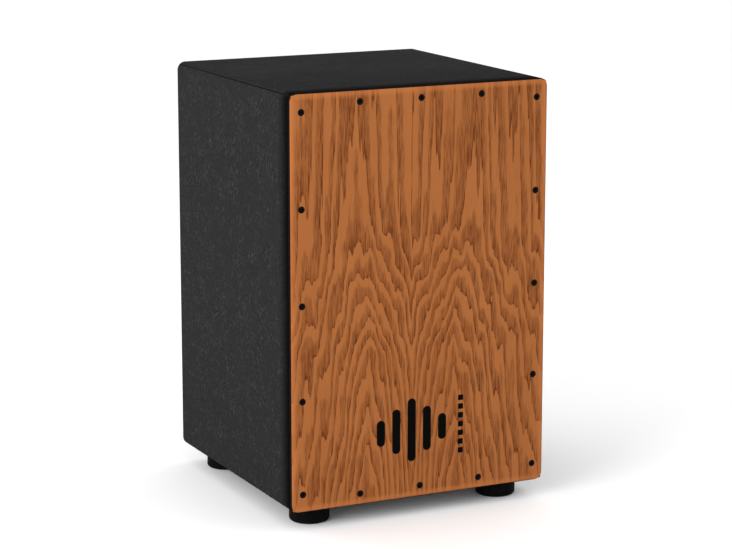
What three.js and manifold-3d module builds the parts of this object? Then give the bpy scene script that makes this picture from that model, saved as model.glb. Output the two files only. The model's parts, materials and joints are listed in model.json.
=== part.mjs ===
// A string cajon: a wooden box drum that the player sits on, beating its thin front plate.
//
// Four mitred panels with rounded long edges make the box. A plywood front plate is screwed to a frame
// of battens, a thinner back panel with a round sound hole is let in flush behind, and the box stands on
// four rubber feet. Behind the front plate two looped steel strings hang from a bracket at the top, and
// each ends in a saddle that a hex bolt, reached from underneath, pulls down to tighten the string.
//
// Millimetres, +Z up, the front plate faces -Y, left and right are as seen by someone facing it.
// The origin is on the floor, under the middle of the box.

import * as THREE from 'three';
import { mergeVertices } from 'three/addons/utils/BufferGeometryUtils.js';
import Module from 'manifold-3d';

const wasm = await Module();
wasm.setup();

// ---------- Driving dimensions ----------

// Overall
const WIDTH = 298; // box, side to side
const DEPTH = 300; // face of the front plate to face of the back panel
const BOX_HEIGHT = 437; // box without its feet
const FOOT_HEIGHT = 20;
const GAP = 0.3; // joint left between two pieces that touch
const PAST = 1; // how far a cutter reaches past the faces it cuts

// Sheet goods
const PANEL = 9; // top, bottom and side panels
const PLATE = 3; // front plate
const BACK = 5; // back panel
const EDGE_RADIUS = 9; // the box's long edges, and the front plate's corners
const HOLE_DIAMETER = 115; // sound hole
const HOLE_RISE = 44; // sound hole's centre above the middle of the box

// Battens, all square in section
const FRONT_BATTEN = 18;
const REAR_BATTEN = 15;

// Front plate screws: countersunk, black
const SCREW_HEAD = 6.9; // head diameter
const SCREW_HEAD_DEPTH = 2.2; // from the head's face to the start of the shank
const SCREW_SHANK = 3.2; // diameter
const SCREW_LENGTH = 17;
const SCREW_TIP = 3; // length of the point
const SCREW_SUNK = 0.1; // head below the plate's face
const SCREW_RIM = 0.25; // straight rim of the head
const ROW_INTO_BATTEN = 3.3; // top and bottom rows, from the panel's inner face
const COLUMN_INTO_BATTEN = 4.4; // side columns, from the panel's inner face
const CORNER_INTO_BATTEN = 10.5; // corner screws, down or up from the panel's inner face
const ROW_PITCH = 70; // between the screws of a row
const COLUMN_PITCH = 100; // between the screws of a column
const RECESS_WIDTH = 0.95; // cross recess
const RECESS_LENGTH = 3.8;
const RECESS_DEPTH = 1.4;

// Rubber feet, each on one wood screw and washer
const FOOT_DIAMETER = 43;
const FOOT_EDGE = 3; // rounding of the bottom rim
const FOOT_CHAMFER = 1; // chamfer of the top rim
const FOOT_INSET = 37.5; // foot's centre from the box's outer faces
const FOOT_RECESS = 18; // diameter of the well that hides the screw
const FOOT_RECESS_DEPTH = 10;
const WASHER_THICKNESS = 1.2;
const WASHER_RIM = 0.6; // clearance round the washer in the well
const FOOT_SCREW_SHANK = 4; // diameter
const FOOT_SCREW_HEAD = 8.4; // diameter
const FOOT_SCREW_HEAD_HEIGHT = 2.6;
const FOOT_SCREW_BITE = 7; // depth in the bottom panel
const FOOT_SCREW_TIP = 2.5;

// Rounded screw heads, in parts of the head's diameter and height
const PAN_DOME = [[0.3, 0.95], [0.45, 0.6], [0.5, 0.15]]; // outline, as [out, down]
const PAN_RECESS_REACH = 0.27; // cross recess: length of an arm
const PAN_RECESS_SIDE = 0.065; // half of an arm's width
const PAN_RECESS_FLOOR = 0.4; // height of its floor below the seat

// String bracket: a steel angle on the back of the top front batten
const BRACKET_LENGTH = 130;
const BRACKET_SHEET = 2;
const BRACKET_DROP = 11; // string shelf below the batten
const BRACKET_RISE = 14; // upright leg's reach up the batten
const BRACKET_SCREW_SPAN = 90; // between its two screws
const BRACKET_SCREW_SHANK = 3; // diameter
const BRACKET_SCREW_HEAD = 6.4; // diameter
const BRACKET_SCREW_HEAD_HEIGHT = 1.9;
const BRACKET_SCREW_BITE = 13; // depth in the batten
const BRACKET_SCREW_TIP = 2.5;
const PILOT_SPARE = 1; // depth of their holes past their points

// Strings, one loop on each side, running in a V from the saddles up to the bracket
const STRING = 0.8; // diameter
const STRING_X_BOTTOM = 22; // loop's middle from the box's middle, at the saddle
const STRING_X_TOP = 46; // and at the bracket
const LOOP_BOTTOM = 18; // between a loop's two runs, at the saddle
const LOOP_TOP = 10; // and at the bracket
const LOOP_BEND = 0.8; // bend radius over the bracket
const STRING_ROOM = 0.4; // clearance on each side of a string in its slots
const STRING_TURN = 0.6; // distance from the saddle's top over which the string turns upright
const STRING_LIFT = 0.1; // how far the string still stands off the plate at the start of that turn
const BALL = 4; // ball end's diameter
const BALL_HEIGHT = 4; // ball end's width along the string
const BALL_EDGE = 0.6; // chamfer of its rims

// Saddles and tuning bolts
const SADDLE_LENGTH = 26;
const SADDLE_DEPTH = 13;
const SADDLE_HEIGHT = 8;
const SADDLE_LIFT = 7; // saddle's underside above the batten
const BOLT = 5; // diameter
const BOLT_Y = 8.2; // bolt's axis behind the carcass's front
const BOLT_HEAD = 8.5; // diameter
const BOLT_HEAD_HEIGHT = 5;
const BOLT_HEAD_CHAMFER = 0.5;
const BOLT_END_CHAMFER = 0.6;
const BOLT_PAST_SADDLE = 5; // bolt's end above the saddle
const HEX = 4; // across the flats of the key socket
const HEX_DEPTH = 2.8;
const HEX_SIDES = 6;

// Fineness of round shapes, in sides to the full circle
const FINE = 36;
const ROUND = 24;
const SMALL = 12;
const STRING_SIDES = 8;
const EDGE_STEPS = 4; // segments in each rounded half edge
const WELD = 1e-4; // points closer than this are one
const BEND_STEPS = 4; // segments in each bend of a string or of the bracket

// ---------- Worked-out places ----------

const BOX_BOTTOM = FOOT_HEIGHT;
const BOX_TOP = BOX_BOTTOM + BOX_HEIGHT;
const BOX_MIDDLE = (BOX_BOTTOM + BOX_TOP) / 2;
const FRONT_Y = -DEPTH / 2;
const BACK_Y = DEPTH / 2;
const PLATE_BACK_Y = FRONT_Y + PLATE;
const CARCASS_FRONT_Y = PLATE_BACK_Y + GAP;
const CARCASS_DEPTH = BACK_Y - CARCASS_FRONT_Y;
const INNER_WIDTH = WIDTH - 2 * PANEL;
const INNER_BOTTOM = BOX_BOTTOM + PANEL;
const INNER_TOP = BOX_TOP - PANEL;
const INNER_HEIGHT = INNER_TOP - INNER_BOTTOM;
const SIDES = { left: -1, right: 1 };

// ---------- Helpers ----------

const material = (color, roughness, metalness = 0) =>
  new THREE.MeshStandardMaterial({ color, roughness, metalness });

const BLACK_FOIL = material(0x26272a, 0.6);
const ASH_PLY = material(0xa5663a, 0.45);
const PINE = material(0xd9b98a, 0.75);
const BLACK_SCREW = material(0x0c0c0d, 0.4, 0.6);
const RUBBER = material(0x0d0d0e, 0.8);
const ZINC = material(0xb9bcc0, 0.35, 1);
const STRING_STEEL = material(0xc9cacc, 0.25, 1);
const BRASS = material(0xc9a14a, 0.3, 1);

// A closed geometry as a solid that can be joined and cut.
function solidOf(geometry) {
  const bare = geometry.clone();
  bare.deleteAttribute('normal');
  bare.deleteAttribute('uv');
  const merged = mergeVertices(bare, WELD);
  const vertProperties = new Float32Array(merged.attributes.position.array);
  const triVerts = new Uint32Array(merged.index.array);
  return new wasm.Manifold(new wasm.Mesh({ numProp: 3, vertProperties, triVerts }));
}

// The geometry with the tool geometries cut out of it.
function cut(geometry, ...tools) {
  let solid = solidOf(geometry);
  for (const tool of tools) solid = solid.subtract(solidOf(tool));
  const mesh = solid.getMesh();
  const made = new THREE.BufferGeometry();
  made.setAttribute('position', new THREE.BufferAttribute(new Float32Array(mesh.vertProperties), 3));
  made.setIndex(new THREE.BufferAttribute(new Uint32Array(mesh.triVerts), 1));
  made.computeVertexNormals();
  return made;
}

// A solid of revolution about Z, from [radius, height] points listed upwards from the axis back to it.
function turned(points, sides = SMALL) {
  const profile = points.map(([r, z]) => new THREE.Vector2(r, z));
  return new THREE.LatheGeometry(profile, sides).rotateX(Math.PI / 2);
}

// A cylinder about Z from one height to another.
const rod = (diameter, bottom, top, sides = SMALL) =>
  new THREE.CylinderGeometry(diameter / 2, diameter / 2, top - bottom, sides)
    .rotateX(Math.PI / 2)
    .translate(0, 0, (top + bottom) / 2);

// A box between two corners.
const block = ([x0, y0, z0], [x1, y1, z1]) =>
  new THREE.BoxGeometry(x1 - x0, y1 - y0, z1 - z0).translate((x0 + x1) / 2, (y0 + y1) / 2, (z0 + z1) / 2);

// A flat shape given a thickness along Z.
const extruded = (shape, depth, curveSegments) =>
  new THREE.ExtrudeGeometry(shape, { depth, bevelEnabled: false, curveSegments });

// Turns a geometry made about Z so that its +Z points along +Y, into the box.
const facingBack = (geometry) => geometry.rotateX(-Math.PI / 2);

function mesh(name, geometry, look) {
  const made = new THREE.Mesh(geometry, look);
  made.name = name;
  return made;
}

// ---------- Box panels ----------

// One panel of the mitred box: outer face at z = 0, its length along X, running back from the carcass's
// front. Each end is half of a rounded edge, cut at 45 degrees with half of the joint's gap.
function mitredPanel(length) {
  const half = length / 2;
  const mitreShift = GAP / Math.SQRT2;
  const arcStart = Math.PI / 4 + Math.asin(GAP / 2 / EDGE_RADIUS);
  const innerHalf = half - PANEL - mitreShift;
  const shape = new THREE.Shape();
  shape.moveTo(-innerHalf, -PANEL);
  shape.lineTo(innerHalf, -PANEL);
  shape.absarc(half - EDGE_RADIUS, -EDGE_RADIUS, EDGE_RADIUS, arcStart, Math.PI / 2);
  shape.absarc(EDGE_RADIUS - half, -EDGE_RADIUS, EDGE_RADIUS, Math.PI / 2, Math.PI - arcStart);
  shape.closePath();
  return extruded(shape, CARCASS_DEPTH, EDGE_STEPS)
    .rotateX(Math.PI / 2)
    .translate(0, BACK_Y, 0);
}

function topPanel() {
  const made = mesh('top_panel', mitredPanel(WIDTH), BLACK_FOIL);
  made.position.z = BOX_TOP;
  return made;
}

// The bottom panel is the top panel turned over, with holes for the foot screws and the tuning bolts.
function bottomPanel() {
  const up = (z) => BOX_BOTTOM + z;
  const holes = footPlaces().map(([, x, y]) =>
    rod(FOOT_SCREW_SHANK + 2 * GAP, up(-PAST), up(FOOT_SCREW_BITE + GAP)).translate(x, y, 0),
  );
  for (const side of Object.values(SIDES)) {
    const [x, y] = boltPlace(side);
    holes.push(
      rod(BOLT_HEAD + 2 * GAP, up(-PAST), up(BOLT_HEAD_HEIGHT + 2 * GAP), ROUND).translate(x, y, 0),
      rod(BOLT + 2 * GAP, up(0), up(PANEL + PAST), ROUND).translate(x, y, 0),
    );
  }
  const plain = mitredPanel(WIDTH).rotateY(Math.PI).translate(0, 0, BOX_BOTTOM);
  return mesh('bottom_panel', cut(plain, ...holes), BLACK_FOIL);
}

function sidePanel(name, side) {
  const made = mesh(`${name}_side_panel`, mitredPanel(BOX_HEIGHT), BLACK_FOIL);
  made.rotation.y = (side * Math.PI) / 2;
  made.position.set((side * WIDTH) / 2, 0, BOX_MIDDLE);
  return made;
}

// The back panel, let in flush between the four panels.
function backPanel() {
  const halfWidth = INNER_WIDTH / 2 - GAP;
  const halfHeight = INNER_HEIGHT / 2 - GAP;
  const shape = new THREE.Shape([
    new THREE.Vector2(-halfWidth, -halfHeight),
    new THREE.Vector2(halfWidth, -halfHeight),
    new THREE.Vector2(halfWidth, halfHeight),
    new THREE.Vector2(-halfWidth, halfHeight),
  ]);
  const hole = new THREE.Path().absarc(0, HOLE_RISE, HOLE_DIAMETER / 2, 0, 2 * Math.PI, true);
  shape.holes.push(hole);
  const made = mesh(
    'back_panel',
    extruded(shape, BACK, FINE).rotateX(Math.PI / 2),
    BLACK_FOIL,
  );
  made.position.set(0, BACK_Y, BOX_MIDDLE);
  return made;
}

// ---------- Front plate and its screws ----------

// Where the front plate's screws go: five in each row, the outer ones set in from the corners, and
// three more down each side.
function plateScrews() {
  const row = BOX_HEIGHT / 2 - PANEL - ROW_INTO_BATTEN;
  const corner = BOX_HEIGHT / 2 - PANEL - CORNER_INTO_BATTEN;
  const column = INNER_WIDTH / 2 - COLUMN_INTO_BATTEN;
  const places = [];
  for (const [level, up] of [['top', 1], ['bottom', -1]]) {
    places.push([`front_screw_${level}_left`, -column, up * corner]);
    places.push([`front_screw_${level}_mid_left`, -ROW_PITCH, up * row]);
    places.push([`front_screw_${level}_centre`, 0, up * row]);
    places.push([`front_screw_${level}_mid_right`, ROW_PITCH, up * row]);
    places.push([`front_screw_${level}_right`, column, up * corner]);
  }
  for (const [name, side] of Object.entries(SIDES)) {
    for (const [level, up] of [['upper', 1], ['middle', 0], ['lower', -1]]) {
      places.push([`front_screw_${name}_${level}`, side * column, up * COLUMN_PITCH]);
    }
  }
  return places.map(([name, x, z]) => ({ name, x, z: BOX_MIDDLE + z }));
}

// The outline of a countersunk screw from the rim of its head to its shank, grown by a clearance.
const countersink = (grow) => [
  [SCREW_HEAD / 2 + grow, SCREW_RIM],
  [SCREW_SHANK / 2 + grow, SCREW_HEAD_DEPTH + grow],
];

// A countersunk screw about Z, its head's face at z = 0 and its point upwards.
const countersunkScrew = () =>
  turned([
    [0, 0],
    [SCREW_HEAD / 2, 0],
    ...countersink(0),
    [SCREW_SHANK / 2, SCREW_LENGTH - SCREW_TIP],
    [0, SCREW_LENGTH],
  ]);

// The tool that cuts its hole, open at the plate's face.
const countersunkHole = () =>
  turned([
    [0, -PAST],
    [SCREW_HEAD / 2 + GAP, -PAST],
    ...countersink(GAP),
    [SCREW_SHANK / 2 + GAP, SCREW_LENGTH + GAP],
    [0, SCREW_LENGTH + GAP],
  ]);

function plateScrew({ name, x, z }) {
  const arm = RECESS_LENGTH / 2;
  const side = RECESS_WIDTH / 2;
  const recess = [
    block([-arm, -side, -PAST], [arm, side, RECESS_DEPTH]),
    block([-side, -arm, -PAST], [side, arm, RECESS_DEPTH]),
  ];
  const made = mesh(name, facingBack(cut(countersunkScrew(), ...recess)), BLACK_SCREW);
  made.position.set(x, FRONT_Y + SCREW_SUNK, z);
  return made;
}

// The tools that cut the holes of all the plate screws, in the box's frame.
const plateScrewHoles = () =>
  plateScrews().map(({ x, z }) => facingBack(countersunkHole()).translate(x, FRONT_Y + SCREW_SUNK, z));

function frontPlate() {
  const halfWidth = WIDTH / 2 - EDGE_RADIUS;
  const halfHeight = BOX_HEIGHT / 2 - EDGE_RADIUS;
  const shape = new THREE.Shape();
  shape.absarc(halfWidth, halfHeight, EDGE_RADIUS, 0, Math.PI / 2);
  shape.absarc(-halfWidth, halfHeight, EDGE_RADIUS, Math.PI / 2, Math.PI);
  shape.absarc(-halfWidth, -halfHeight, EDGE_RADIUS, Math.PI, 1.5 * Math.PI);
  shape.absarc(halfWidth, -halfHeight, EDGE_RADIUS, 1.5 * Math.PI, 2 * Math.PI);
  const plate = extruded(shape, PLATE, 2 * EDGE_STEPS)
    .rotateX(Math.PI / 2)
    .translate(0, PLATE_BACK_Y, BOX_MIDDLE);
  return mesh('front_plate', cut(plate, ...plateScrewHoles()), ASH_PLY);
}

// ---------- Battens ----------

// The front frame: the rows of plate screws bite in its long top and bottom battens, the columns in
// the two side battens that stand between them.
function frontBattens() {
  const halfWidth = INNER_WIDTH / 2 - GAP;
  const front = CARCASS_FRONT_Y;
  const back = front + FRONT_BATTEN;
  const low = INNER_BOTTOM + GAP;
  const high = INNER_TOP - GAP;
  const levels = { top: [high - FRONT_BATTEN, high], bottom: [low, low + FRONT_BATTEN] };
  const screwHoles = plateScrewHoles();
  const boltHoles = Object.values(SIDES).map((side) => {
    const [x, y] = boltPlace(side);
    return rod(BOLT + 2 * GAP, low - PAST, low + FRONT_BATTEN + PAST, ROUND).translate(x, y, 0);
  });
  const extra = { top: bracketScrewHoles(), bottom: boltHoles };
  const made = Object.entries(levels).map(([name, [bottom, top]]) =>
    mesh(
      `front_batten_${name}`,
      cut(block([-halfWidth, front, bottom], [halfWidth, back, top]), ...screwHoles, ...extra[name]),
      PINE,
    ),
  );
  for (const [name, side] of Object.entries(SIDES)) {
    const outer = side * halfWidth;
    const inner = side * (halfWidth - FRONT_BATTEN);
    const upright = block(
      [Math.min(outer, inner), front, levels.bottom[1] + GAP],
      [Math.max(outer, inner), back, levels.top[0] - GAP],
    );
    made.push(mesh(`front_batten_${name}`, cut(upright, ...screwHoles), PINE));
  }
  return made;
}

// The rear frame that the back panel is glued against.
function rearBattens() {
  const halfWidth = INNER_WIDTH / 2 - GAP;
  const back = BACK_Y - BACK - GAP;
  const front = back - REAR_BATTEN;
  const low = INNER_BOTTOM + GAP;
  const high = INNER_TOP - GAP;
  const made = [
    ['top', high - REAR_BATTEN, high],
    ['bottom', low, low + REAR_BATTEN],
  ].map(([name, bottom, top]) =>
    mesh(`rear_batten_${name}`, block([-halfWidth, front, bottom], [halfWidth, back, top]), PINE),
  );
  for (const [name, side] of Object.entries(SIDES)) {
    const outer = side * halfWidth;
    const inner = side * (halfWidth - REAR_BATTEN);
    const upright = block(
      [Math.min(outer, inner), front, low + REAR_BATTEN + GAP],
      [Math.max(outer, inner), back, high - REAR_BATTEN - GAP],
    );
    made.push(mesh(`rear_batten_${name}`, upright, PINE));
  }
  return made;
}

// ---------- Feet ----------

// Each foot as [name, x, y].
const footPlaces = () =>
  Object.entries(SIDES).flatMap(([name, side]) => [
    [`front_${name}`, side * (WIDTH / 2 - FOOT_INSET), FRONT_Y + FOOT_INSET],
    [`rear_${name}`, side * (WIDTH / 2 - FOOT_INSET), BACK_Y - FOOT_INSET],
  ]);

// A rubber foot with a well in its underside and a bore for the screw, closed on itself as a ring.
function footGeometry() {
  const outer = FOOT_DIAMETER / 2;
  const well = FOOT_RECESS / 2;
  const bore = FOOT_SCREW_SHANK / 2 + GAP;
  const top = FOOT_HEIGHT - GAP;
  const profile = [new THREE.Vector2(bore, top), new THREE.Vector2(bore, FOOT_RECESS_DEPTH)];
  profile.push(new THREE.Vector2(well, FOOT_RECESS_DEPTH), new THREE.Vector2(well, 0));
  for (let i = 0; i <= EDGE_STEPS; i += 1) {
    const turn = (Math.PI / 2) * (i / EDGE_STEPS);
    profile.push(
      new THREE.Vector2(
        outer - FOOT_EDGE + FOOT_EDGE * Math.sin(turn),
        FOOT_EDGE - FOOT_EDGE * Math.cos(turn),
      ),
    );
  }
  profile.push(new THREE.Vector2(outer, top - FOOT_CHAMFER), new THREE.Vector2(outer - FOOT_CHAMFER, top));
  profile.push(profile[0].clone());
  return new THREE.LatheGeometry(profile, ROUND).rotateX(Math.PI / 2);
}

// A flat ring about Z.
function washerGeometry() {
  const outer = FOOT_RECESS / 2 - WASHER_RIM;
  const hole = FOOT_SCREW_SHANK / 2 + GAP;
  const top = FOOT_RECESS_DEPTH - GAP;
  const bottom = top - WASHER_THICKNESS;
  const corners = [[hole, top], [hole, bottom], [outer, bottom], [outer, top], [hole, top]];
  const profile = corners.map(([r, z]) => new THREE.Vector2(r, z));
  return new THREE.LatheGeometry(profile, ROUND).rotateX(Math.PI / 2);
}

// A wood screw with a rounded head below z = 0 and its point upwards.
function panHeadScrew({ head, headHeight, shank, length, tip }) {
  const arm = head * PAN_RECESS_REACH;
  const side = head * PAN_RECESS_SIDE;
  const recessTop = -headHeight * PAN_RECESS_FLOOR;
  const body = turned([
    [0, -headHeight],
    ...PAN_DOME.map(([out, down]) => [head * out, -headHeight * down]),
    [head / 2, 0],
    [shank / 2, 0],
    [shank / 2, length - tip],
    [0, length],
  ]);
  return cut(
    body,
    block([-arm, -side, -headHeight - PAST], [arm, side, recessTop]),
    block([-side, -arm, -headHeight - PAST], [side, arm, recessTop]),
  );
}

function feet() {
  const washerBottom = FOOT_RECESS_DEPTH - GAP - WASHER_THICKNESS;
  const screwSeat = washerBottom - GAP;
  const screw = {
    head: FOOT_SCREW_HEAD,
    headHeight: FOOT_SCREW_HEAD_HEIGHT,
    shank: FOOT_SCREW_SHANK,
    length: BOX_BOTTOM + FOOT_SCREW_BITE - screwSeat,
    tip: FOOT_SCREW_TIP,
  };
  return footPlaces().map(([name, x, y]) => {
    const foot = new THREE.Group();
    const fastener = mesh(`foot_screw_${name}`, panHeadScrew(screw), ZINC);
    fastener.position.z = screwSeat;
    foot.add(
      mesh(`foot_${name}`, footGeometry(), RUBBER),
      mesh(`foot_washer_${name}`, washerGeometry(), ZINC),
      fastener,
    );
    foot.position.set(x, y, 0);
    return foot;
  });
}

// ---------- Strings ----------

const STRING_Y = PLATE_BACK_Y + GAP + STRING / 2; // axis of a string lying on the front plate
const SLOT_END_Y = STRING_Y + STRING / 2 + GAP; // closed end of a string slot
const SLOT_WIDTH = STRING + 2 * STRING_ROOM;
const BALL_Y = PLATE_BACK_Y + GAP + BALL / 2;
const FITTING_FRONT_Y = PLATE_BACK_Y + GAP; // bracket and saddles come this near the plate
const SHELF_BOTTOM = INNER_TOP - GAP - FRONT_BATTEN - BRACKET_DROP;
const SHELF_TOP = SHELF_BOTTOM + BRACKET_SHEET;
const SADDLE_BOTTOM = INNER_BOTTOM + GAP + FRONT_BATTEN + SADDLE_LIFT;
const SADDLE_TOP = SADDLE_BOTTOM + SADDLE_HEIGHT;
const BALL_TOP = SADDLE_BOTTOM - GAP;

const boltPlace = (side) => [side * STRING_X_BOTTOM, CARCASS_FRONT_Y + BOLT_Y];
const bracketScrewPlaces = () => [-BRACKET_SCREW_SPAN / 2, BRACKET_SCREW_SPAN / 2];
const BRACKET_SCREW_Z = SHELF_BOTTOM + BRACKET_DROP + BRACKET_RISE / 2;
const BRACKET_BACK_Y = CARCASS_FRONT_Y + FRONT_BATTEN + GAP + BRACKET_SHEET;

const bracketScrewHoles = () =>
  bracketScrewPlaces().map((x) =>
    facingBack(rod(BRACKET_SCREW_SHANK + 2 * GAP, 0, BRACKET_SCREW_BITE + GAP + PILOT_SPARE)).translate(
      x,
      BRACKET_BACK_Y - BRACKET_SHEET - GAP - BRACKET_SCREW_BITE - GAP,
      BRACKET_SCREW_Z,
    ),
  );

// A steel angle: an upright leg screwed to the back of the batten, and a shelf that reaches forward
// under it to the front plate, with four open slots that the strings pass up through.
function stringBracket() {
  const half = BRACKET_LENGTH / 2;
  const backY = BRACKET_BACK_Y;
  const upright = backY - BRACKET_SHEET;
  const top = SHELF_BOTTOM + BRACKET_DROP + BRACKET_RISE;
  const shape = new THREE.Shape();
  shape.moveTo(FITTING_FRONT_Y, SHELF_BOTTOM);
  shape.lineTo(backY - BRACKET_SHEET, SHELF_BOTTOM);
  shape.absarc(backY - BRACKET_SHEET, SHELF_TOP, BRACKET_SHEET, 1.5 * Math.PI, 2 * Math.PI);
  shape.lineTo(backY, top);
  shape.lineTo(upright, top);
  shape.lineTo(upright, SHELF_TOP);
  shape.lineTo(FITTING_FRONT_Y, SHELF_TOP);
  shape.closePath();
  const angle = extruded(shape, BRACKET_LENGTH, BEND_STEPS)
    .rotateX(Math.PI / 2)
    .rotateZ(Math.PI / 2)
    .translate(-half, 0, 0);
  const slots = [];
  for (const side of Object.values(SIDES)) {
    for (const run of [-1, 1]) {
      const x = side * STRING_X_TOP + (run * LOOP_TOP) / 2;
      slots.push(
        block(
          [x - SLOT_WIDTH / 2, FITTING_FRONT_Y - PAST, SHELF_BOTTOM - PAST],
          [x + SLOT_WIDTH / 2, SLOT_END_Y, SHELF_TOP + PAST],
        ),
      );
    }
  }
  const holes = bracketScrewPlaces().map((x) =>
    facingBack(rod(BRACKET_SCREW_SHANK + 2 * GAP, -PAST, BRACKET_SHEET + PAST)).translate(
      x,
      upright,
      BRACKET_SCREW_Z,
    ),
  );
  return mesh('string_bracket', cut(angle, ...slots, ...holes), ZINC);
}

function bracketScrews() {
  const screw = {
    head: BRACKET_SCREW_HEAD,
    headHeight: BRACKET_SCREW_HEAD_HEIGHT,
    shank: BRACKET_SCREW_SHANK,
    length: BRACKET_SHEET + 2 * GAP + BRACKET_SCREW_BITE,
    tip: BRACKET_SCREW_TIP,
  };
  return bracketScrewPlaces().map((x, i) => {
    const name = `bracket_screw_${Object.keys(SIDES)[i]}`;
    const made = mesh(name, panHeadScrew(screw).rotateX(Math.PI / 2), ZINC);
    made.position.set(x, BRACKET_BACK_Y + GAP, BRACKET_SCREW_Z);
    return made;
  });
}

// A path that passes through its knots, one to each step of an extrusion, so that a long straight run
// takes one step and a tight bend takes several.
class KnotPath extends THREE.Curve {
  constructor(knots) {
    super();
    this.knots = knots;
  }

  getPointAt(u, target = new THREE.Vector3()) {
    const last = this.knots.length - 1;
    return target.copy(this.knots[Math.round(u * last)]);
  }

  getTangentAt(u, target = new THREE.Vector3()) {
    const last = this.knots.length - 1;
    const here = Math.round(u * last);
    const before = this.knots[Math.max(here - 1, 0)];
    const after = this.knots[Math.min(here + 1, last)];
    return target.subVectors(after, before).normalize();
  }
}

// The knots of one string: up from the outer ball end, onto the plate over the saddle, over the
// bracket's shelf in a square loop with round bends, and down again to the inner ball end.
function stringKnots(side) {
  const crown = SHELF_TOP + GAP + STRING / 2;
  const run = (turn) => {
    const bottom = side * STRING_X_BOTTOM + (turn * LOOP_BOTTOM) / 2;
    const top = side * STRING_X_TOP + (turn * LOOP_TOP) / 2;
    const knots = [
      new THREE.Vector3(bottom, BALL_Y, SADDLE_BOTTOM),
      new THREE.Vector3(bottom, STRING_Y + STRING_LIFT, SADDLE_TOP - STRING_TURN),
      new THREE.Vector3(bottom, STRING_Y, SADDLE_TOP + STRING_TURN),
      new THREE.Vector3(top, STRING_Y, crown - LOOP_BEND),
    ];
    for (let i = 1; i <= BEND_STEPS; i += 1) {
      const bend = (Math.PI / 2) * (i / BEND_STEPS);
      knots.push(
        new THREE.Vector3(
          top - turn * LOOP_BEND * (1 - Math.cos(bend)),
          STRING_Y,
          crown - LOOP_BEND + LOOP_BEND * Math.sin(bend),
        ),
      );
    }
    return knots;
  };
  return [...run(side), ...run(-side).reverse()];
}

function stringGeometry(side) {
  const section = new THREE.Shape();
  for (let i = 0; i < STRING_SIDES; i += 1) {
    const turn = (2 * Math.PI * i) / STRING_SIDES;
    const [x, y] = [(STRING / 2) * Math.cos(turn), (STRING / 2) * Math.sin(turn)];
    if (i === 0) section.moveTo(x, y);
    else section.lineTo(x, y);
  }
  section.closePath();
  const knots = stringKnots(side);
  return new THREE.ExtrudeGeometry(section, { steps: knots.length - 1, extrudePath: new KnotPath(knots) });
}

// A saddle: a steel bar with a threaded hole for the bolt, and a sloping open slot near each end that
// leads a string from the ball end beneath it forward on to the plate.
function saddleGeometry() {
  const front = FITTING_FRONT_Y;
  const boltY = CARCASS_FRONT_Y + BOLT_Y;
  const bar = block(
    [-SADDLE_LENGTH / 2, front, SADDLE_BOTTOM],
    [SADDLE_LENGTH / 2, front + SADDLE_DEPTH, SADDLE_TOP],
  );
  const slope = new THREE.Shape();
  slope.moveTo(front - PAST, SADDLE_BOTTOM - PAST);
  slope.lineTo(BALL_Y + STRING / 2 + 2 * STRING_ROOM, SADDLE_BOTTOM - PAST);
  slope.lineTo(SLOT_END_Y + STRING_ROOM, SADDLE_TOP + PAST);
  slope.lineTo(front - PAST, SADDLE_TOP + PAST);
  slope.closePath();
  const slots = [-1, 1].map((run) =>
    extruded(slope, SLOT_WIDTH)
      .rotateX(Math.PI / 2)
      .rotateZ(Math.PI / 2)
      .translate((run * LOOP_BOTTOM) / 2 - SLOT_WIDTH / 2, 0, 0),
  );
  const thread = rod(BOLT + 2 * GAP, SADDLE_BOTTOM - PAST, SADDLE_TOP + PAST, ROUND).translate(0, boltY, 0);
  return cut(bar, thread, ...slots);
}

// A hex socket bolt, its head let into the underside of the box and its end above the saddle.
function boltGeometry() {
  const headBottom = BOX_BOTTOM + GAP;
  const headTop = headBottom + BOLT_HEAD_HEIGHT;
  const end = SADDLE_TOP + BOLT_PAST_SADDLE;
  const body = turned(
    [
      [0, headBottom],
      [BOLT_HEAD / 2 - BOLT_HEAD_CHAMFER, headBottom],
      [BOLT_HEAD / 2, headBottom + BOLT_HEAD_CHAMFER],
      [BOLT_HEAD / 2, headTop],
      [BOLT / 2, headTop],
      [BOLT / 2, end - BOLT_END_CHAMFER],
      [BOLT / 2 - BOLT_END_CHAMFER, end],
      [0, end],
    ],
    ROUND,
  );
  const acrossCorners = HEX / Math.cos(Math.PI / HEX_SIDES);
  return cut(body, rod(acrossCorners, headBottom - PAST, headBottom + HEX_DEPTH, HEX_SIDES));
}

// A ball end: a small brass drum that the string is looped round.
const ballGeometry = () =>
  turned([
    [0, BALL_TOP - BALL_HEIGHT],
    [BALL / 2 - BALL_EDGE, BALL_TOP - BALL_HEIGHT],
    [BALL / 2, BALL_TOP - BALL_HEIGHT + BALL_EDGE],
    [BALL / 2, BALL_TOP - BALL_EDGE],
    [BALL / 2 - BALL_EDGE, BALL_TOP],
    [0, BALL_TOP],
  ]);

function stringUnit(name, side) {
  const unit = new THREE.Group();
  const [x, y] = boltPlace(side);
  const saddle = mesh(`string_saddle_${name}`, saddleGeometry(), ZINC);
  saddle.position.x = x;
  const bolt = mesh(`tuning_bolt_${name}`, boltGeometry(), BLACK_SCREW);
  bolt.position.set(x, y, 0);
  unit.add(saddle, bolt, mesh(`string_${name}`, stringGeometry(side), STRING_STEEL));
  for (const [where, turn] of [['outer', side], ['inner', -side]]) {
    const ball = mesh(`string_ball_${name}_${where}`, ballGeometry(), BRASS);
    ball.position.set(x + (turn * LOOP_BOTTOM) / 2, BALL_Y, 0);
    unit.add(ball);
  }
  return unit;
}

// ---------- Assembly ----------

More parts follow.
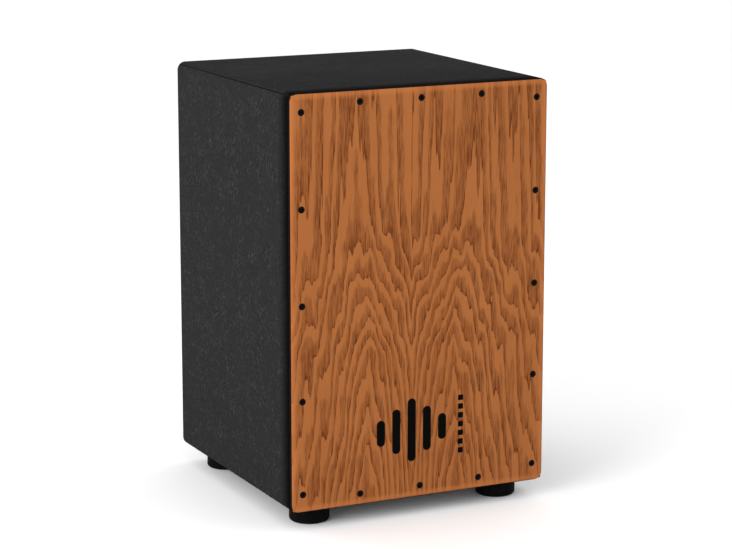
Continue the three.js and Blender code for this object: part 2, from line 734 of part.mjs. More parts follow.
const cajon = new THREE.Group();
cajon.add(topPanel(), bottomPanel(), backPanel(), frontPlate());
for (const [name, side] of Object.entries(SIDES)) cajon.add(sidePanel(name, side), stringUnit(name, side));
cajon.add(...frontBattens(), ...rearBattens(), ...plateScrews().map(plateScrew), ...feet());
cajon.add(stringBracket(), ...bracketScrews());

export default cajon;
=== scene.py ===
# %% [markdown]
# # A string cajon
#
# A cajon is a wooden box that is played like a drum. The player sits on it and strikes its thin front
# plate, two steel strings buzz behind the plate, and the sound leaves by a round hole in the back.
# This lesson builds one around a frame that already has every part at its real size: the frame says
# where each piece is and which body it moves with, and the lesson gives each piece its finished shape.

# %% Load the frame
import json
import math

import bmesh
import bpy
from mathutils import Euler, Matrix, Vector


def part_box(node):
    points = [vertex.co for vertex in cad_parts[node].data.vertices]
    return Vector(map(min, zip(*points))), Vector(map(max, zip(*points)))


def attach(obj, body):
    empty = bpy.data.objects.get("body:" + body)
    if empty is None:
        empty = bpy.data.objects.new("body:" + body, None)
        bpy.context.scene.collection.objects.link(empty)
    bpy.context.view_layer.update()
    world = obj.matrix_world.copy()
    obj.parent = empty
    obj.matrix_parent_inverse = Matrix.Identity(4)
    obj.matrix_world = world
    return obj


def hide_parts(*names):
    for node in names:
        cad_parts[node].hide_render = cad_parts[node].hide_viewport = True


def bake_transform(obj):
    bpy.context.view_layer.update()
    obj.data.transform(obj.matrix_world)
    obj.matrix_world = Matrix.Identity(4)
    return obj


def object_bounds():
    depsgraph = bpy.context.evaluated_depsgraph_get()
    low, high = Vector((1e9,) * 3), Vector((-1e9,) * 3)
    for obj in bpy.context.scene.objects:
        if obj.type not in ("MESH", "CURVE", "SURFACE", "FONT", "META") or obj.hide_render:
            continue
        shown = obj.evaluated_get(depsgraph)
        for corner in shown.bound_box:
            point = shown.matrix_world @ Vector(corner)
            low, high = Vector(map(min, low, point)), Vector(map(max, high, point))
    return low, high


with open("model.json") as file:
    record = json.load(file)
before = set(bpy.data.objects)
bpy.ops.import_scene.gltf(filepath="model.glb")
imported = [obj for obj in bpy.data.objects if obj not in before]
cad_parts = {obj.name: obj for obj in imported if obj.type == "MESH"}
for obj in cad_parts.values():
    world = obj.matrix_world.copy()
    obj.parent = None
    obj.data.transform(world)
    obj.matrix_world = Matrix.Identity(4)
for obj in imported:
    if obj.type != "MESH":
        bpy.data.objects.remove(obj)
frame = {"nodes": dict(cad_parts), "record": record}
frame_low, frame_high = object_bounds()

MM = 0.001
CASE = "case"
SIDES = ("left", "right")
print("the frame is", [round(side / MM) for side in frame_high - frame_low], "mm")

# %% [markdown]
# ## Working by hand, in code
#
# Blender's operators act on whatever is selected, so a piece is always selected alone first. Faces and
# edges could be picked by number, but numbers change whenever a step before them does. Picking them by
# where they are or which way they face stays right.

# %% Select, edit and place
def only(piece):
    """Makes a piece the active object and the only one selected."""
    bpy.ops.object.select_all(action="DESELECT")
    piece.select_set(True)
    bpy.context.view_layer.objects.active = piece


def edit(piece):
    only(piece)
    bpy.ops.object.mode_set(mode="EDIT")


def choose(kind, test):
    """In edit mode, selects the vertices, edges or faces that pass a test, and no others."""
    bpy.ops.mesh.select_mode(type=kind)
    bpy.ops.mesh.select_all(action="DESELECT")
    mesh = bmesh.from_edit_mesh(bpy.context.edit_object.data)
    mesh.normal_update()
    for element in {"VERT": mesh.verts, "EDGE": mesh.edges, "FACE": mesh.faces}[kind]:
        if test(element):
            element.select_set(True)
    bmesh.update_edit_mesh(bpy.context.edit_object.data)


def middle(edge):
    return (edge.verts[0].co + edge.verts[1].co) / 2


def direction(edge):
    return (edge.verts[1].co - edge.verts[0].co).normalized()


def at_depth(edge, y):
    """Whether an edge lies at one depth from end to end, to a hundredth of a millimetre."""
    return all(abs(vertex.co.y - y) < 0.01 * MM for vertex in edge.verts)


def abs_vector(vector):
    return Vector([abs(part) for part in vector])


def bevel_chosen(width, segments):
    bpy.ops.mesh.bevel(offset=width, segments=segments, affect="EDGES", profile=0.5)


def object_mode():
    bpy.ops.object.mode_set(mode="OBJECT")


# %% Blocks, cutters and copies
SHARP_FROM = 32  # degrees between two faces from which their edge stays sharp
WELD = 0.002 * MM  # points closer than this become one


def named(name):
    """The object just made, named, with its place moved into its mesh."""
    piece = bpy.context.active_object
    piece.name = piece.data.name = name
    only(piece)
    bpy.ops.object.transform_apply(location=True, rotation=True, scale=True)
    return piece


def block(name, low, high):
    low, high = Vector(low), Vector(high)
    bpy.ops.mesh.primitive_cube_add(size=1, location=(low + high) / 2, scale=high - low)
    return named(name)


def rod(name, radius, start, end, sides=48):
    """A cylinder from one point to another."""
    start, end = Vector(start), Vector(end)
    turn = (end - start).to_track_quat("Z", "Y").to_euler()
    size = {"vertices": sides, "radius": radius, "depth": (end - start).length}
    bpy.ops.mesh.primitive_cylinder_add(**size, location=(start + end) / 2, rotation=turn)
    return named(name)


def carve(piece, cutter):
    """Cuts the cutter's shape out of the piece and throws the cutter away."""
    cut = piece.modifiers.new("cut", "BOOLEAN")
    cut.operation, cut.solver, cut.object = "DIFFERENCE", "EXACT", cutter
    only(piece)
    bpy.ops.object.modifier_apply(modifier=cut.name)
    bpy.data.objects.remove(cutter)


def copy_of(model, name, place, turn=(0, 0, 0)):
    """A copy with a mesh of its own, turned and then put in place."""
    piece = model.copy()
    piece.data = model.data.copy()
    bpy.context.scene.collection.objects.link(piece)
    piece.location, piece.rotation_euler = place, turn
    bpy.context.view_layer.objects.active = piece
    return named(name)


def join(name, pieces):
    only(pieces[0])
    for piece in pieces:
        piece.select_set(True)
    bpy.ops.object.join()
    return named(name)


def cover(piece, finishes, finish_of):
    """Gives a piece its finishes, and each face the one that a rule chooses for it."""
    for finish in finishes:
        piece.data.materials.append(finish)
    for face in piece.data.polygons:
        face.material_index = finishes.index(finish_of(face))


def fit(piece, body, slot, *nodes):
    """Shades a finished piece, fixes it to its body and lets it stand for its nodes of the frame."""
    only(piece)
    bpy.ops.object.shade_smooth_by_angle(angle=math.radians(SHARP_FROM))
    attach(piece, body)
    if nodes:
        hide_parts(*nodes)
    return piece


# %% [markdown]
# ## Turned pieces
#
# Feet, washers, screws and bolts are all turned shapes. Each could start as a cylinder that is inset and
# extruded ring by ring. It is quicker to draw half of its section once, as a lathe's cutter would follow
# it, and spin the outline round the axis. The outline starts as one point, pulled out corner by corner.

# %% Draw an outline and spin it
def spun(name, outline, steps=48):
    """A solid turned about Z from (radius, height) points that end on the axis or where they began."""
    points = [Vector((radius, 0, height)) for radius, height in outline]
    bpy.ops.object.select_all(action="DESELECT")
    bpy.ops.mesh.primitive_plane_add(size=MM, location=points[0])
    piece = named(name)
    edit(piece)
    bpy.ops.mesh.select_mode(type="VERT")
    bpy.ops.mesh.select_all(action="SELECT")
    bpy.ops.mesh.merge(type="CENTER")
    for before, after in zip(points, points[1:]):
        bpy.ops.mesh.extrude_vertices_move(TRANSFORM_OT_translate={"value": after - before})
    bpy.ops.mesh.select_all(action="SELECT")
    bpy.ops.mesh.spin(steps=steps, angle=math.tau, center=(0, 0, 0), axis=(0, 0, 1))
    bpy.ops.mesh.select_all(action="SELECT")
    bpy.ops.mesh.remove_doubles(threshold=WELD)
    bpy.ops.mesh.normals_make_consistent(inside=False)
    object_mode()
    return piece


def arc(centre, radius, start, end, steps=6):
    """Points on an arc of an outline, angles in degrees from the outward direction."""
    angles = [math.radians(start + (end - start) * i / steps) for i in range(steps + 1)]
    return [(centre[0] + radius * math.cos(a), centre[1] + radius * math.sin(a)) for a in angles]


# %% [markdown]
# ## Nodes written as sums
#
# A material is a small program. Written out node by node it is long and hard to follow, so a helper adds
# a node and hands back its output, and the formulas below read much as they would on paper.

# %% A helper for node trees
class Nodes:
    def __init__(self, tree):
        self.tree = tree

    def add(self, kind, inputs=(), **settings):
        """Adds a node, sets its properties, and connects or sets its inputs by name or number."""
        node = self.tree.nodes.new(kind)
        for key, value in settings.items():
            setattr(node, key, value)
        for key, value in dict(inputs).items():
            self.put(node.inputs[key], value)
        return node

    def put(self, socket, value):
        if isinstance(value, bpy.types.NodeSocket):
            self.tree.links.new(value, socket)
        else:
            socket.default_value = value

    def sum(self, operation, *values):
        return self.add("ShaderNodeMath", enumerate(values), operation=operation).outputs[0]

    def times(self, a, b):
        return self.sum("MULTIPLY", a, b)

    def plus(self, a, b):
        return self.sum("ADD", a, b)

    def minus(self, a, b):
        return self.sum("SUBTRACT", a, b)

    def split(self, vector):
        return self.add("ShaderNodeSeparateXYZ", {0: vector}).outputs

    def joined(self, x, y, z):
        return self.add("ShaderNodeCombineXYZ", {0: x, 1: y, 2: z}).outputs[0]

    def stretched(self, vector, factors):
        return self.add("ShaderNodeVectorMath", {0: vector, 1: factors}, operation="MULTIPLY").outputs[0]

    def noise(self, vector, scale=1.0, detail=2.0, roughness=0.5):
        values = {"Vector": vector, "Scale": scale, "Detail": detail, "Roughness": roughness}
        return self.add("ShaderNodeTexNoise", values).outputs[0]

    def range(self, value, low, high, to_low=0.0, to_high=1.0, curve="LINEAR"):
        values = {0: value, 1: low, 2: high, 3: to_low, 4: to_high}
        return self.add("ShaderNodeMapRange", values, interpolation_type=curve).outputs[0]

    def ramp(self, value, stops, curve="LINEAR"):
        """Grey levels at places along a value from 0 to 1."""
        node = self.add("ShaderNodeValToRGB", {0: value})
        node.color_ramp.interpolation = curve
        elements = node.color_ramp.elements
        while len(elements) < len(stops):
            elements.new(0.5)
        for element, (place, level) in zip(elements, stops):
            element.position, element.color = place, (level, level, level, 1)
        return node.outputs[0]

    def mix(self, share, a, b):
        """A colour between two colours."""
        node = self.add("ShaderNodeMix", {0: share, 6: a, 7: b}, data_type="RGBA")
        return node.outputs[2]


def shade(red, green, blue):
    """A colour as a screen's 0 to 255 values, turned into the light that a material reflects."""
    parts = [value / 255 for value in (red, green, blue)]
    return (*[p / 12.92 if p <= 0.04045 else ((p + 0.055) / 1.055) ** 2.4 for p in parts], 1)


# %% Node groups and materials
def node_group(name, inputs, outputs):
    """An empty group with named number or vector inputs and number outputs."""
    tree = bpy.data.node_groups.new(name, "ShaderNodeTree")
    for title, kind, value in inputs:
        socket = tree.interface.new_socket(title, in_out="INPUT", socket_type=kind)
        if value is not None:
            socket.default_value = value
    for title in outputs:
        tree.interface.new_socket(title, in_out="OUTPUT", socket_type="NodeSocketFloat")
    nodes = Nodes(tree)
    return nodes, nodes.add("NodeGroupInput").outputs, nodes.add("NodeGroupOutput").inputs


def material(name, paint):
    """A material whose paint function sets the surface shader's sockets."""
    made = bpy.data.materials.new(name)
    made.use_nodes = True
    made.node_tree.nodes.clear()
    nodes = Nodes(made.node_tree)
    surface = nodes.add("ShaderNodeBsdfPrincipled")
    output = nodes.add("ShaderNodeOutputMaterial", {0: surface.outputs[0]})
    place = nodes.add("ShaderNodeTexCoord").outputs["Object"]
    values = paint(nodes, place)
    height = values.pop("height", None)
    if height is not None:
        level, depth, strength = height
        bump = {"Height": level, "Distance": depth, "Strength": strength}
        values["Normal"] = nodes.add("ShaderNodeBump", bump).outputs[0]
    for key, value in values.items():
        nodes.put(surface.inputs[key], value)
    made.node_tree.nodes.active = output
    return made


# %% [markdown]
# ## Effects that several finishes share
#
# Two effects come up again and again. Wood of any kind has fine fibres and pores that run along it, and
# every worn or moulded surface is a little uneven in how it shines. Each is a group with its own inputs,
# so that each finish can set how fine and how strong it is.

# %% Wood fibre and uneven sheen
def fibre_group():
    """Fibres, streaks and pores for wood whose grain runs along Z, from a place in metres."""
    inputs = [("Place", "NodeSocketVector", None), ("Fineness", "NodeSocketFloat", 1.0)]
    nodes, given, result = node_group("Wood fibre", inputs, ["Streaks", "Fibres", "Pores"])
    x, y, z = nodes.split(given["Place"])
    across_x, across_y = nodes.times(x, given["Fineness"]), nodes.times(y, given["Fineness"])

    def lines(per_metre, along, detail):
        """Noise stretched along the grain."""
        sides = nodes.times(across_x, per_metre), nodes.times(across_y, per_metre)
        return nodes.noise(nodes.joined(*sides, nodes.times(z, along)), detail=detail)

    nodes.put(result["Streaks"], nodes.range(lines(800, 45, 3), 0.36, 0.64))
    nodes.put(result["Fibres"], nodes.range(lines(1500, 80, 2), 0.34, 0.68))
    nodes.put(result["Pores"], nodes.range(lines(900, 60, 1), 0.56, 0.66))
    return nodes.tree


def sheen_group():
    """Slow and fine unevenness, from 0 to 1 about a middle of a half."""
    inputs = [("Place", "NodeSocketVector", None), ("Size", "NodeSocketFloat", 0.01)]
    nodes, given, result = node_group("Uneven sheen", inputs, ["Clouds", "Specks"])
    scale = nodes.sum("DIVIDE", 1.0, given["Size"])
    nodes.put(result["Clouds"], nodes.range(nodes.noise(given["Place"], scale, 3), 0.25, 0.75))
    fine = nodes.noise(given["Place"], nodes.times(scale, 14.0), 2, 0.7)
    nodes.put(result["Specks"], nodes.range(fine, 0.3, 0.7))
    return nodes.tree


FIBRE, SHEEN = fibre_group(), sheen_group()
print("groups:", FIBRE.name, "and", SHEEN.name)


def use(nodes, group, **inputs):
    """Places a group in a material and gives back its outputs."""
    node = nodes.add("ShaderNodeGroup", node_tree=group)
    for key, value in inputs.items():
        nodes.put(node.inputs[key], value)
    return node.outputs


# %% [markdown]
# ## The front plate's ash veneer
#
# A cathedral pattern is what a flat saw cut shows of a tapering trunk: each growth ring is a cone, and
# the cut across the cones leaves nested peaks. So the colour isn't drawn but worked out: the ring that a
# point belongs to follows from its distance to the trunk's heart line and its height, shaken by noise
# that is long in the grain's direction, which makes the jagged tips. Two leaves of veneer cut one after
# the other are opened like a book, so the pattern uses the distance from the seam between them.

# %% Stained ash, opened like a book
SEAM_X = -10.3 * MM  # between the two leaves
LEAF_SHIFT = 4 * MM  # keeps the fibres of the two leaves from being the same
HEART_LOW, HEART_HIGH = 47 * MM, 68 * MM  # from the seam to a leaf's heart line, below and above
DRIFT_FROM, DRIFT_TO = 200 * MM, 330 * MM  # heights between which the heart line drifts outwards
HEART_DEPTH = 9 * MM  # how blunt the peaks are
RING = 16 * MM  # growth ring's width towards the plate's edges
FAN_TOP, FAN_PER_RING = 52, 11.5  # rings in a metre towards the seam, at the top and for each ring down
SLOWER_FROM, SLOWER_TO, SLOWER = 5 * MM, 60 * MM, 0.68  # fewer rings are crossed away from the heart line
FEET_HEIGHT = 20 * MM
RINGS_DOWN = 10  # rings crossed from the plate's top to its bottom along a heart line
RINGS_BEFORE = 40  # added to the count so that it never falls below zero
RING_PLACES = [(0, 0), (0.34, 0.1), (0.42, 0.2), (0.47, 0.3), (0.52, 0.4), (0.575, 0.5)]
RING_PLACES += [(0.63, 0.6), (0.71, 0.7), (0.82, 0.8), (0.91, 0.9), (1, 1)]
RING_DARKNESS = [(0.0, 0.0), (0.33, 0.04), (0.46, 0.42), (0.9, 0.68), (0.94, 1.0), (1.0, 1.0)]
SHAKES = [  # waves in a metre across and in a ring along, step between the leaves, reach in rings, detail
    (20, 0.14, 0.3, 1.8, 1),
    (68, 0.3, 0.16, 2.2, 1),
    (230, 0.9, 0.1, 0.7, 2),
]


def cathedral(nodes, place):
    """How dark a point is in its growth ring, from 0 to 1, and where it lies with the book shut."""
    x, _, z = nodes.split(place)
    from_seam = nodes.minus(x, SEAM_X)
    u = nodes.sum("ABSOLUTE", from_seam)
    leaf = nodes.sum("SIGN", from_seam)
    folded = nodes.joined(u, nodes.times(leaf, LEAF_SHIFT), z)
    down = nodes.range(z, frame_high.z, frame_low.z + FEET_HEIGHT)
    down = nodes.ramp(down, RING_PLACES, "B_SPLINE")
    down = nodes.times(down, RINGS_DOWN)

    def shake(per_metre, per_ring, leaf_step, reach, detail):
        """Noise about 0 that is drawn out where the rings are, and a little different on each leaf."""
        point = nodes.joined(
            nodes.times(u, per_metre), nodes.times(leaf, leaf_step), nodes.times(down, per_ring)
        )
        return nodes.times(nodes.minus(nodes.noise(point, detail=detail), 0.5), reach)

    heart = nodes.range(z, DRIFT_FROM, DRIFT_TO, HEART_LOW, HEART_HIGH, "SMOOTHSTEP")
    outward = nodes.minus(u, heart)
    slower = nodes.range(outward, SLOWER_FROM, SLOWER_TO, 1.0, SLOWER, "SMOOTHSTEP")
    across = nodes.sum("SQRT", nodes.plus(nodes.times(outward, outward), HEART_DEPTH**2))
    towards_seam = nodes.range(outward, -HEART_DEPTH, HEART_DEPTH, 1.0, 0.0, "SMOOTHSTEP")
    fan = nodes.plus(nodes.times(down, FAN_PER_RING), FAN_TOP - 1 / RING)
    rings_per_metre = nodes.plus(nodes.times(towards_seam, fan), 1 / RING)
    ring = nodes.minus(nodes.times(down, slower), nodes.times(across, rings_per_metre))
    for waves in SHAKES:
        ring = nodes.plus(ring, shake(*waves))
    phase = nodes.sum("FRACT", nodes.plus(ring, RINGS_BEFORE))
    width_of_dark = nodes.range(nodes.noise(folded, 24.0, 1), 0.3, 0.7, 0.6, 1.7)
    phase = nodes.sum("POWER", phase, width_of_dark)
    return nodes.ramp(phase, RING_DARKNESS), folded


def from_plate_edge(nodes, place):
    """How far a point of the plate lies from the nearest of its four edges."""
    low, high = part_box("front_plate")
    x, _, z = nodes.split(place)
    above_middle = nodes.minus(z, (low.z + high.z) / 2)
    from_side = nodes.minus((high.x - low.x) / 2, nodes.sum("ABSOLUTE", x))
    from_end = nodes.minus((high.z - low.z) / 2, nodes.sum("ABSOLUTE", above_middle))
    return nodes.sum("MINIMUM", from_side, from_end)


ASH_LIGHT, ASH_DARK, ASH_PORE = shade(150, 91, 48), shade(84, 39, 12), shade(60, 26, 8)
ASH_CLOUD, ASH_PAINTED_HIGHLIGHT = shade(116, 62, 26), shade(168, 100, 54)
HIGHLIGHT_FULL_TO, HIGHLIGHT_GONE_AT = 3 * MM, 9 * MM  # from the plate's edge: a painted highlight, full up to the first, gone at the second


def ash_veneer(nodes, place):
    darkness, folded = cathedral(nodes, place)
    fibre = use(nodes, FIBRE, Place=folded)
    clouds = use(nodes, SHEEN, Place=nodes.stretched(place, (1, 1, 0.3)), Size=0.05)["Clouds"]
    streaked = nodes.times(darkness, nodes.range(fibre["Streaks"], 0, 1, 0.4, 1.2))
    fine = nodes.times(nodes.minus(fibre["Fibres"], 0.5), nodes.range(darkness, 0, 0.5, 0.12, 0.4))
    streaked = nodes.plus(streaked, fine)
    colour = nodes.mix(streaked, ASH_LIGHT, ASH_DARK)
    open_pores = nodes.times(fibre["Pores"], nodes.range(darkness, 0, 1, 0.06, 0.7))
    colour = nodes.mix(open_pores, colour, ASH_PORE)
    colour = nodes.mix(nodes.range(clouds, 0, 1, 0.0, 0.25), colour, ASH_CLOUD)
    margin = from_plate_edge(nodes, place)
    # painted highlight: the veneer is made paler along all four edges of the plate
    painted_highlight = nodes.range(margin, HIGHLIGHT_FULL_TO, HIGHLIGHT_GONE_AT, 0.55, 0.0, "SMOOTHSTEP")
    colour = nodes.mix(painted_highlight, colour, ASH_PAINTED_HIGHLIGHT)
    return {
        "Base Color": colour,
        "Roughness": nodes.range(streaked, 0, 1, 0.42, 0.58),
        "IOR": 1.13,
        "height": (nodes.sum("MULTIPLY", open_pores, -1.0), 0.1 * MM, 0.5),
    }


ASH = material("stained ash veneer", ash_veneer)
print(ASH.name, "has", len(ASH.node_tree.nodes), "nodes")


# %% [markdown]
# ## The other woods
#
# Inside, nothing is stained. The plate's back is bare ash, the battens are planed pine, and the boards of
# the box are fibreboard, which has no grain at all: only the specks of the fibres it is pressed from. The
# brush that paints the outer edges runs a little way over onto the bare wood.

# %% Bare woods
BRUSHED = shade(14, 10, 11)
BRUSHED_MARGIN = 3.5 * MM  # of paint on the plate's back
BRUSHED_EDGE = 0.5 * MM  # over which the paint thins out
def bare_ash(nodes, place):
    fibre = use(nodes, FIBRE, Place=place)
    rings = nodes.range(nodes.noise(nodes.stretched(place, (60, 60, 1.5)), detail=2), 0.35, 0.65)
    colour = nodes.mix(rings, shade(214, 184, 142), shade(188, 150, 104))
    colour = nodes.mix(nodes.times(fibre["Pores"], 0.5), colour, shade(150, 112, 72))
    margin = from_plate_edge(nodes, place)
    painted = nodes.range(margin, BRUSHED_MARGIN, BRUSHED_MARGIN + BRUSHED_EDGE, 1.0, 0.0)
    colour = nodes.mix(painted, colour, BRUSHED)
    return {"Base Color": colour, "Roughness": 0.65, "height": (fibre["Fibres"], 0.05 * MM, 0.4)}


def pine(nodes, place):
    """Pine bars, whose grain runs along their length: the upright ones along Z and the rails along X."""
    x, y, z = nodes.split(place)
    rail_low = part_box("front_batten_bottom")[1].z
    rail_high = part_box("front_batten_top")[0].z
    in_low_rail = nodes.sum("LESS_THAN", z, rail_low)
    in_high_rail = nodes.sum("GREATER_THAN", z, rail_high)
    in_rail = nodes.sum("MAXIMUM", in_low_rail, in_high_rail)
    choice = nodes.add("ShaderNodeMix", {0: in_rail}, data_type="VECTOR")
    nodes.put(choice.inputs[4], nodes.joined(x, y, z))
    nodes.put(choice.inputs[5], nodes.joined(z, y, x))
    along = choice.outputs[1]
    fibre = use(nodes, FIBRE, Place=along, Fineness=0.7)
    rings = nodes.noise(nodes.stretched(along, (240, 240, 2.2)), detail=1)
    colour = nodes.mix(nodes.range(rings, 0.42, 0.62), shade(226, 190, 132), shade(196, 144, 84))
    colour = nodes.mix(nodes.times(fibre["Fibres"], 0.25), colour, shade(170, 118, 66))
    return {"Base Color": colour, "Roughness": 0.7, "height": (fibre["Fibres"], 0.06 * MM, 0.5)}


def fibreboard(nodes, place):
    sheen = use(nodes, SHEEN, Place=place, Size=0.03)
    colour = nodes.mix(sheen["Clouds"], shade(150, 112, 74), shade(132, 96, 62))
    colour = nodes.mix(nodes.times(sheen["Specks"], 0.45), colour, shade(104, 74, 46))
    y = nodes.split(place)[1]
    painted_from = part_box("back_panel")[0].y + MM
    painted = nodes.range(y, painted_from, painted_from + BRUSHED_EDGE)
    colour = nodes.mix(painted, colour, BRUSHED)
    return {"Base Color": colour, "Roughness": 0.9, "height": (sheen["Specks"], 0.08 * MM, 0.5)}


BARE_ASH = material("bare ash", bare_ash)
PINE = material("planed pine", pine)
FIBREBOARD = material("bare fibreboard", fibreboard)
print("woods:", BARE_ASH.name, PINE.name, FIBREBOARD.name, sep=", ")


# %% [markdown]
# ## Black finishes
#
# Four blacks have to look like four different things. The box is wrapped in a foil pressed with a fine
# pebble pattern, the cut edges are brushed with flat paint, the feet are moulded rubber, and the plate's
# mark is smooth printed ink. They differ in how rough they are and in how their surface is broken.

# %% Foil, paint, rubber and ink
foil_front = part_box("top_panel")[0].y
FRONT_SHADE_DEPTH = 28 * MM  # painted shade: the foil is darkened towards the front plate, fading out over this depth
PEBBLES = 620.0  # in a metre


def black_foil(nodes, place):
    sheen = use(nodes, SHEEN, Place=place, Size=0.06)
    drawn_out = nodes.stretched(place, (1, 1, 0.45))
    pressed = {"Vector": drawn_out, "Scale": PEBBLES}
    pebbles = nodes.add("ShaderNodeTexVoronoi", pressed, feature="SMOOTH_F1")
    clusters = nodes.range(nodes.noise(place, 70.0, 2), 0.4, 0.62, 0.25, 1.0)
    grain = nodes.noise(drawn_out, 640.0, 3, 0.65)
    flecks = nodes.times(nodes.range(grain, 0.52, 0.74), clusters)
    pits = nodes.times(nodes.range(grain, 0.42, 0.3), clusters)
    colour = nodes.mix(flecks, shade(33, 33, 33), shade(68, 68, 68))
    colour = nodes.mix(nodes.times(pits, 0.8), colour, shade(12, 12, 12))
    colour = nodes.mix(nodes.times(sheen["Clouds"], 0.3), colour, shade(38, 38, 38))
    y = nodes.split(place)[1]
    # painted shade next to the front plate: the foil darkens towards the plate's edge
    painted_front_shade = nodes.range(y, foil_front, foil_front + FRONT_SHADE_DEPTH, 1.0, 0.0, "SMOOTHSTEP")
    colour = nodes.mix(painted_front_shade, colour, shade(6, 6, 6))
    rough = nodes.plus(nodes.range(sheen["Clouds"], 0, 1, 0.7, 0.82), nodes.times(flecks, -0.12))
    return {
        "Base Color": colour,
        "Roughness": rough,
        "IOR": 1.04,
        "height": (pebbles.outputs[0], 0.12 * MM, 0.6),
    }


def edge_paint(nodes, place):
    sheen = use(nodes, SHEEN, Place=place, Size=0.02)
    colour = nodes.mix(sheen["Specks"], shade(13, 9, 10), shade(27, 19, 20))
    return {
        "Base Color": colour,
        "Roughness": nodes.range(sheen["Clouds"], 0, 1, 0.6, 0.8),
        "IOR": 1.05,
        "height": (sheen["Specks"], 0.05 * MM, 0.4),
    }


def foot_rubber(nodes, place):
    sheen = use(nodes, SHEEN, Place=place, Size=0.008)
    dust = nodes.range(nodes.noise(place, 260.0, 4, 0.7), 0.5, 0.8)
    colour = nodes.mix(nodes.times(dust, 0.5), shade(5, 5, 5), shade(24, 24, 23))
    return {
        "Base Color": colour,
        "Roughness": nodes.range(sheen["Clouds"], 0, 1, 0.6, 0.8),
        "IOR": 1.12,
        "height": (sheen["Specks"], 0.06 * MM, 0.5),
    }


def printed_ink(nodes, place):
    sheen = use(nodes, SHEEN, Place=place, Size=0.01)
    _, folded = cathedral(nodes, place)
    pores = use(nodes, FIBRE, Place=folded)["Pores"]
    colour = nodes.mix(sheen["Specks"], shade(2, 2, 2), shade(8, 7, 7))
    return {
        "Base Color": colour,
        "Roughness": nodes.range(sheen["Clouds"], 0, 1, 0.42, 0.55),
        "IOR": 1.08,
        "height": (nodes.times(pores, -1.0), 0.06 * MM, 0.4),
    }


FOIL = material("pebbled black foil", black_foil)
PAINT = material("flat black edge paint", edge_paint)
RUBBER = material("moulded rubber", foot_rubber)
INK = material("printed black ink", printed_ink)
print("blacks:", FOIL.name, PAINT.name, RUBBER.name, INK.name, sep=", ")


# %% [markdown]
# ## Metals
#
# Blackened screws, bright zinc plate, steel wire and brass differ in colour and in the marks that their
# making leaves: zinc is cloudy, wire is drawn along its length, and turned brass is smooth.

# %% Screws, zinc, wire and brass
def metal(dark, light, rough_low, rough_high, size, metallic=1.0, gloss=1.5):
    """A paint function for a metal between two shades, with clouds of a given size."""

    def paint(nodes, place):
        sheen = use(nodes, SHEEN, Place=place, Size=size)
        return {
            "Base Color": nodes.mix(sheen["Clouds"], dark, light),
            "Metallic": metallic,
            "IOR": gloss,
            "Roughness": nodes.range(sheen["Specks"], 0, 1, rough_low, rough_high),
            "height": (sheen["Specks"], 0.02 * MM, 0.3),
        }

    return paint


BLACKENED = material("black zinc", metal(shade(4, 4, 4), shade(11, 11, 12), 0.4, 0.6, 0.002, 0.0, 1.12))
ZINC = material("zinc plate", metal(shade(176, 178, 182), shade(204, 206, 210), 0.26, 0.42, 0.004))
WIRE = material("bright steel wire", metal(shade(190, 190, 192), shade(214, 214, 216), 0.18, 0.3, 0.003))
BRASS = material("turned brass", metal(shade(196, 152, 74), shade(220, 182, 104), 0.22, 0.36, 0.002))
print("metals:", BLACKENED.name, ZINC.name, WIRE.name, BRASS.name, sep=", ")


# %% [markdown]
# ## The box
#
# Four boards with mitred ends meet in rounded corners. Made one at a time, their half-round ends would
# never line up quite. A maker glues the box first and rounds the corners after, and the same order works
# here: one tube is rounded and hollowed, and then it is sawn into its four boards along the mitres.

# %% A rounded tube
EDGE_RADIUS = 9 * MM  # long corners
FRONT_EASE = 2.2 * MM  # rounding behind the front plate
REAR_EASE = 0.8 * MM
GLUE_LINE = 0.02 * MM  # between the boards of a mitre
MITRE_EASE = 0.7 * MM  # each board's edge is broken along the mitre, which draws a fine line

tube_low = Vector((frame_low.x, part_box("top_panel")[0].y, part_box("bottom_panel")[0].z))
tube_high = Vector(frame_high)
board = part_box("top_panel")[1].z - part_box("top_panel")[0].z


def rounded_tube():
    tube = block("tube", tube_low, tube_high)
    edit(tube)
    choose("EDGE", lambda edge: abs(direction(edge).y) > 0.9)
    bevel_chosen(EDGE_RADIUS, 12)
    for y, width, segments in ((tube_low.y, FRONT_EASE, 4), (tube_high.y, REAR_EASE, 2)):
        choose("EDGE", lambda edge: at_depth(edge, y))
        bevel_chosen(width, segments)
    object_mode()
    past_the_ends = 50 * MM
    wall = Vector((board, -past_the_ends, board))
    carve(tube, block("cavity", tube_low + wall, tube_high - wall))
    return tube


tube = rounded_tube()
print("the tube has", len(tube.data.polygons), "faces and walls of", round(board / MM, 1), "mm")


# %% Saw the tube into boards
def mitred_board(name, outward):
    """The board that faces outward, sawn from the tube by two planes through its corners."""
    piece = copy_of(tube, name, (0, 0, 0))
    sideways = Vector((outward.z, 0, outward.x))
    centre = (tube_low + tube_high) / 2
    half = (tube_high - tube_low) / 2
    edit(piece)
    for end in (-1, 1):
        corner = centre + Vector([(outward + end * sideways)[i] * half[i] for i in range(3)])
        inward = (outward - end * sideways).normalized()
        cut = corner + inward * GLUE_LINE / 2
        bpy.ops.mesh.select_all(action="SELECT")
        bpy.ops.mesh.bisect(plane_co=cut, plane_no=inward, use_fill=True, clear_inner=True)
    outermost = EDGE_RADIUS * (1 - math.sqrt(0.5)) + 0.1 * MM  # where the mitre meets the round corner

    def on_the_line(edge):
        inset = half - abs_vector(middle(edge) - centre)
        return abs(direction(edge).y) > 0.99 and max(inset.x, inset.z) < outermost

    choose("EDGE", on_the_line)
    bevel_chosen(MITRE_EASE, 1)
    object_mode()
    return piece


MITRE_LINE = 0.9 * MM  # paint shows this far to either side of a mitre
END_FACING = 0.75  # share of a face's normal along the box from which it counts as an end
END_PAINT = 3 * MM  # the ends' paint reaches this far along the box
FOIL_DEPTH = 0.5 * MM  # faces within this depth of the outside carry foil


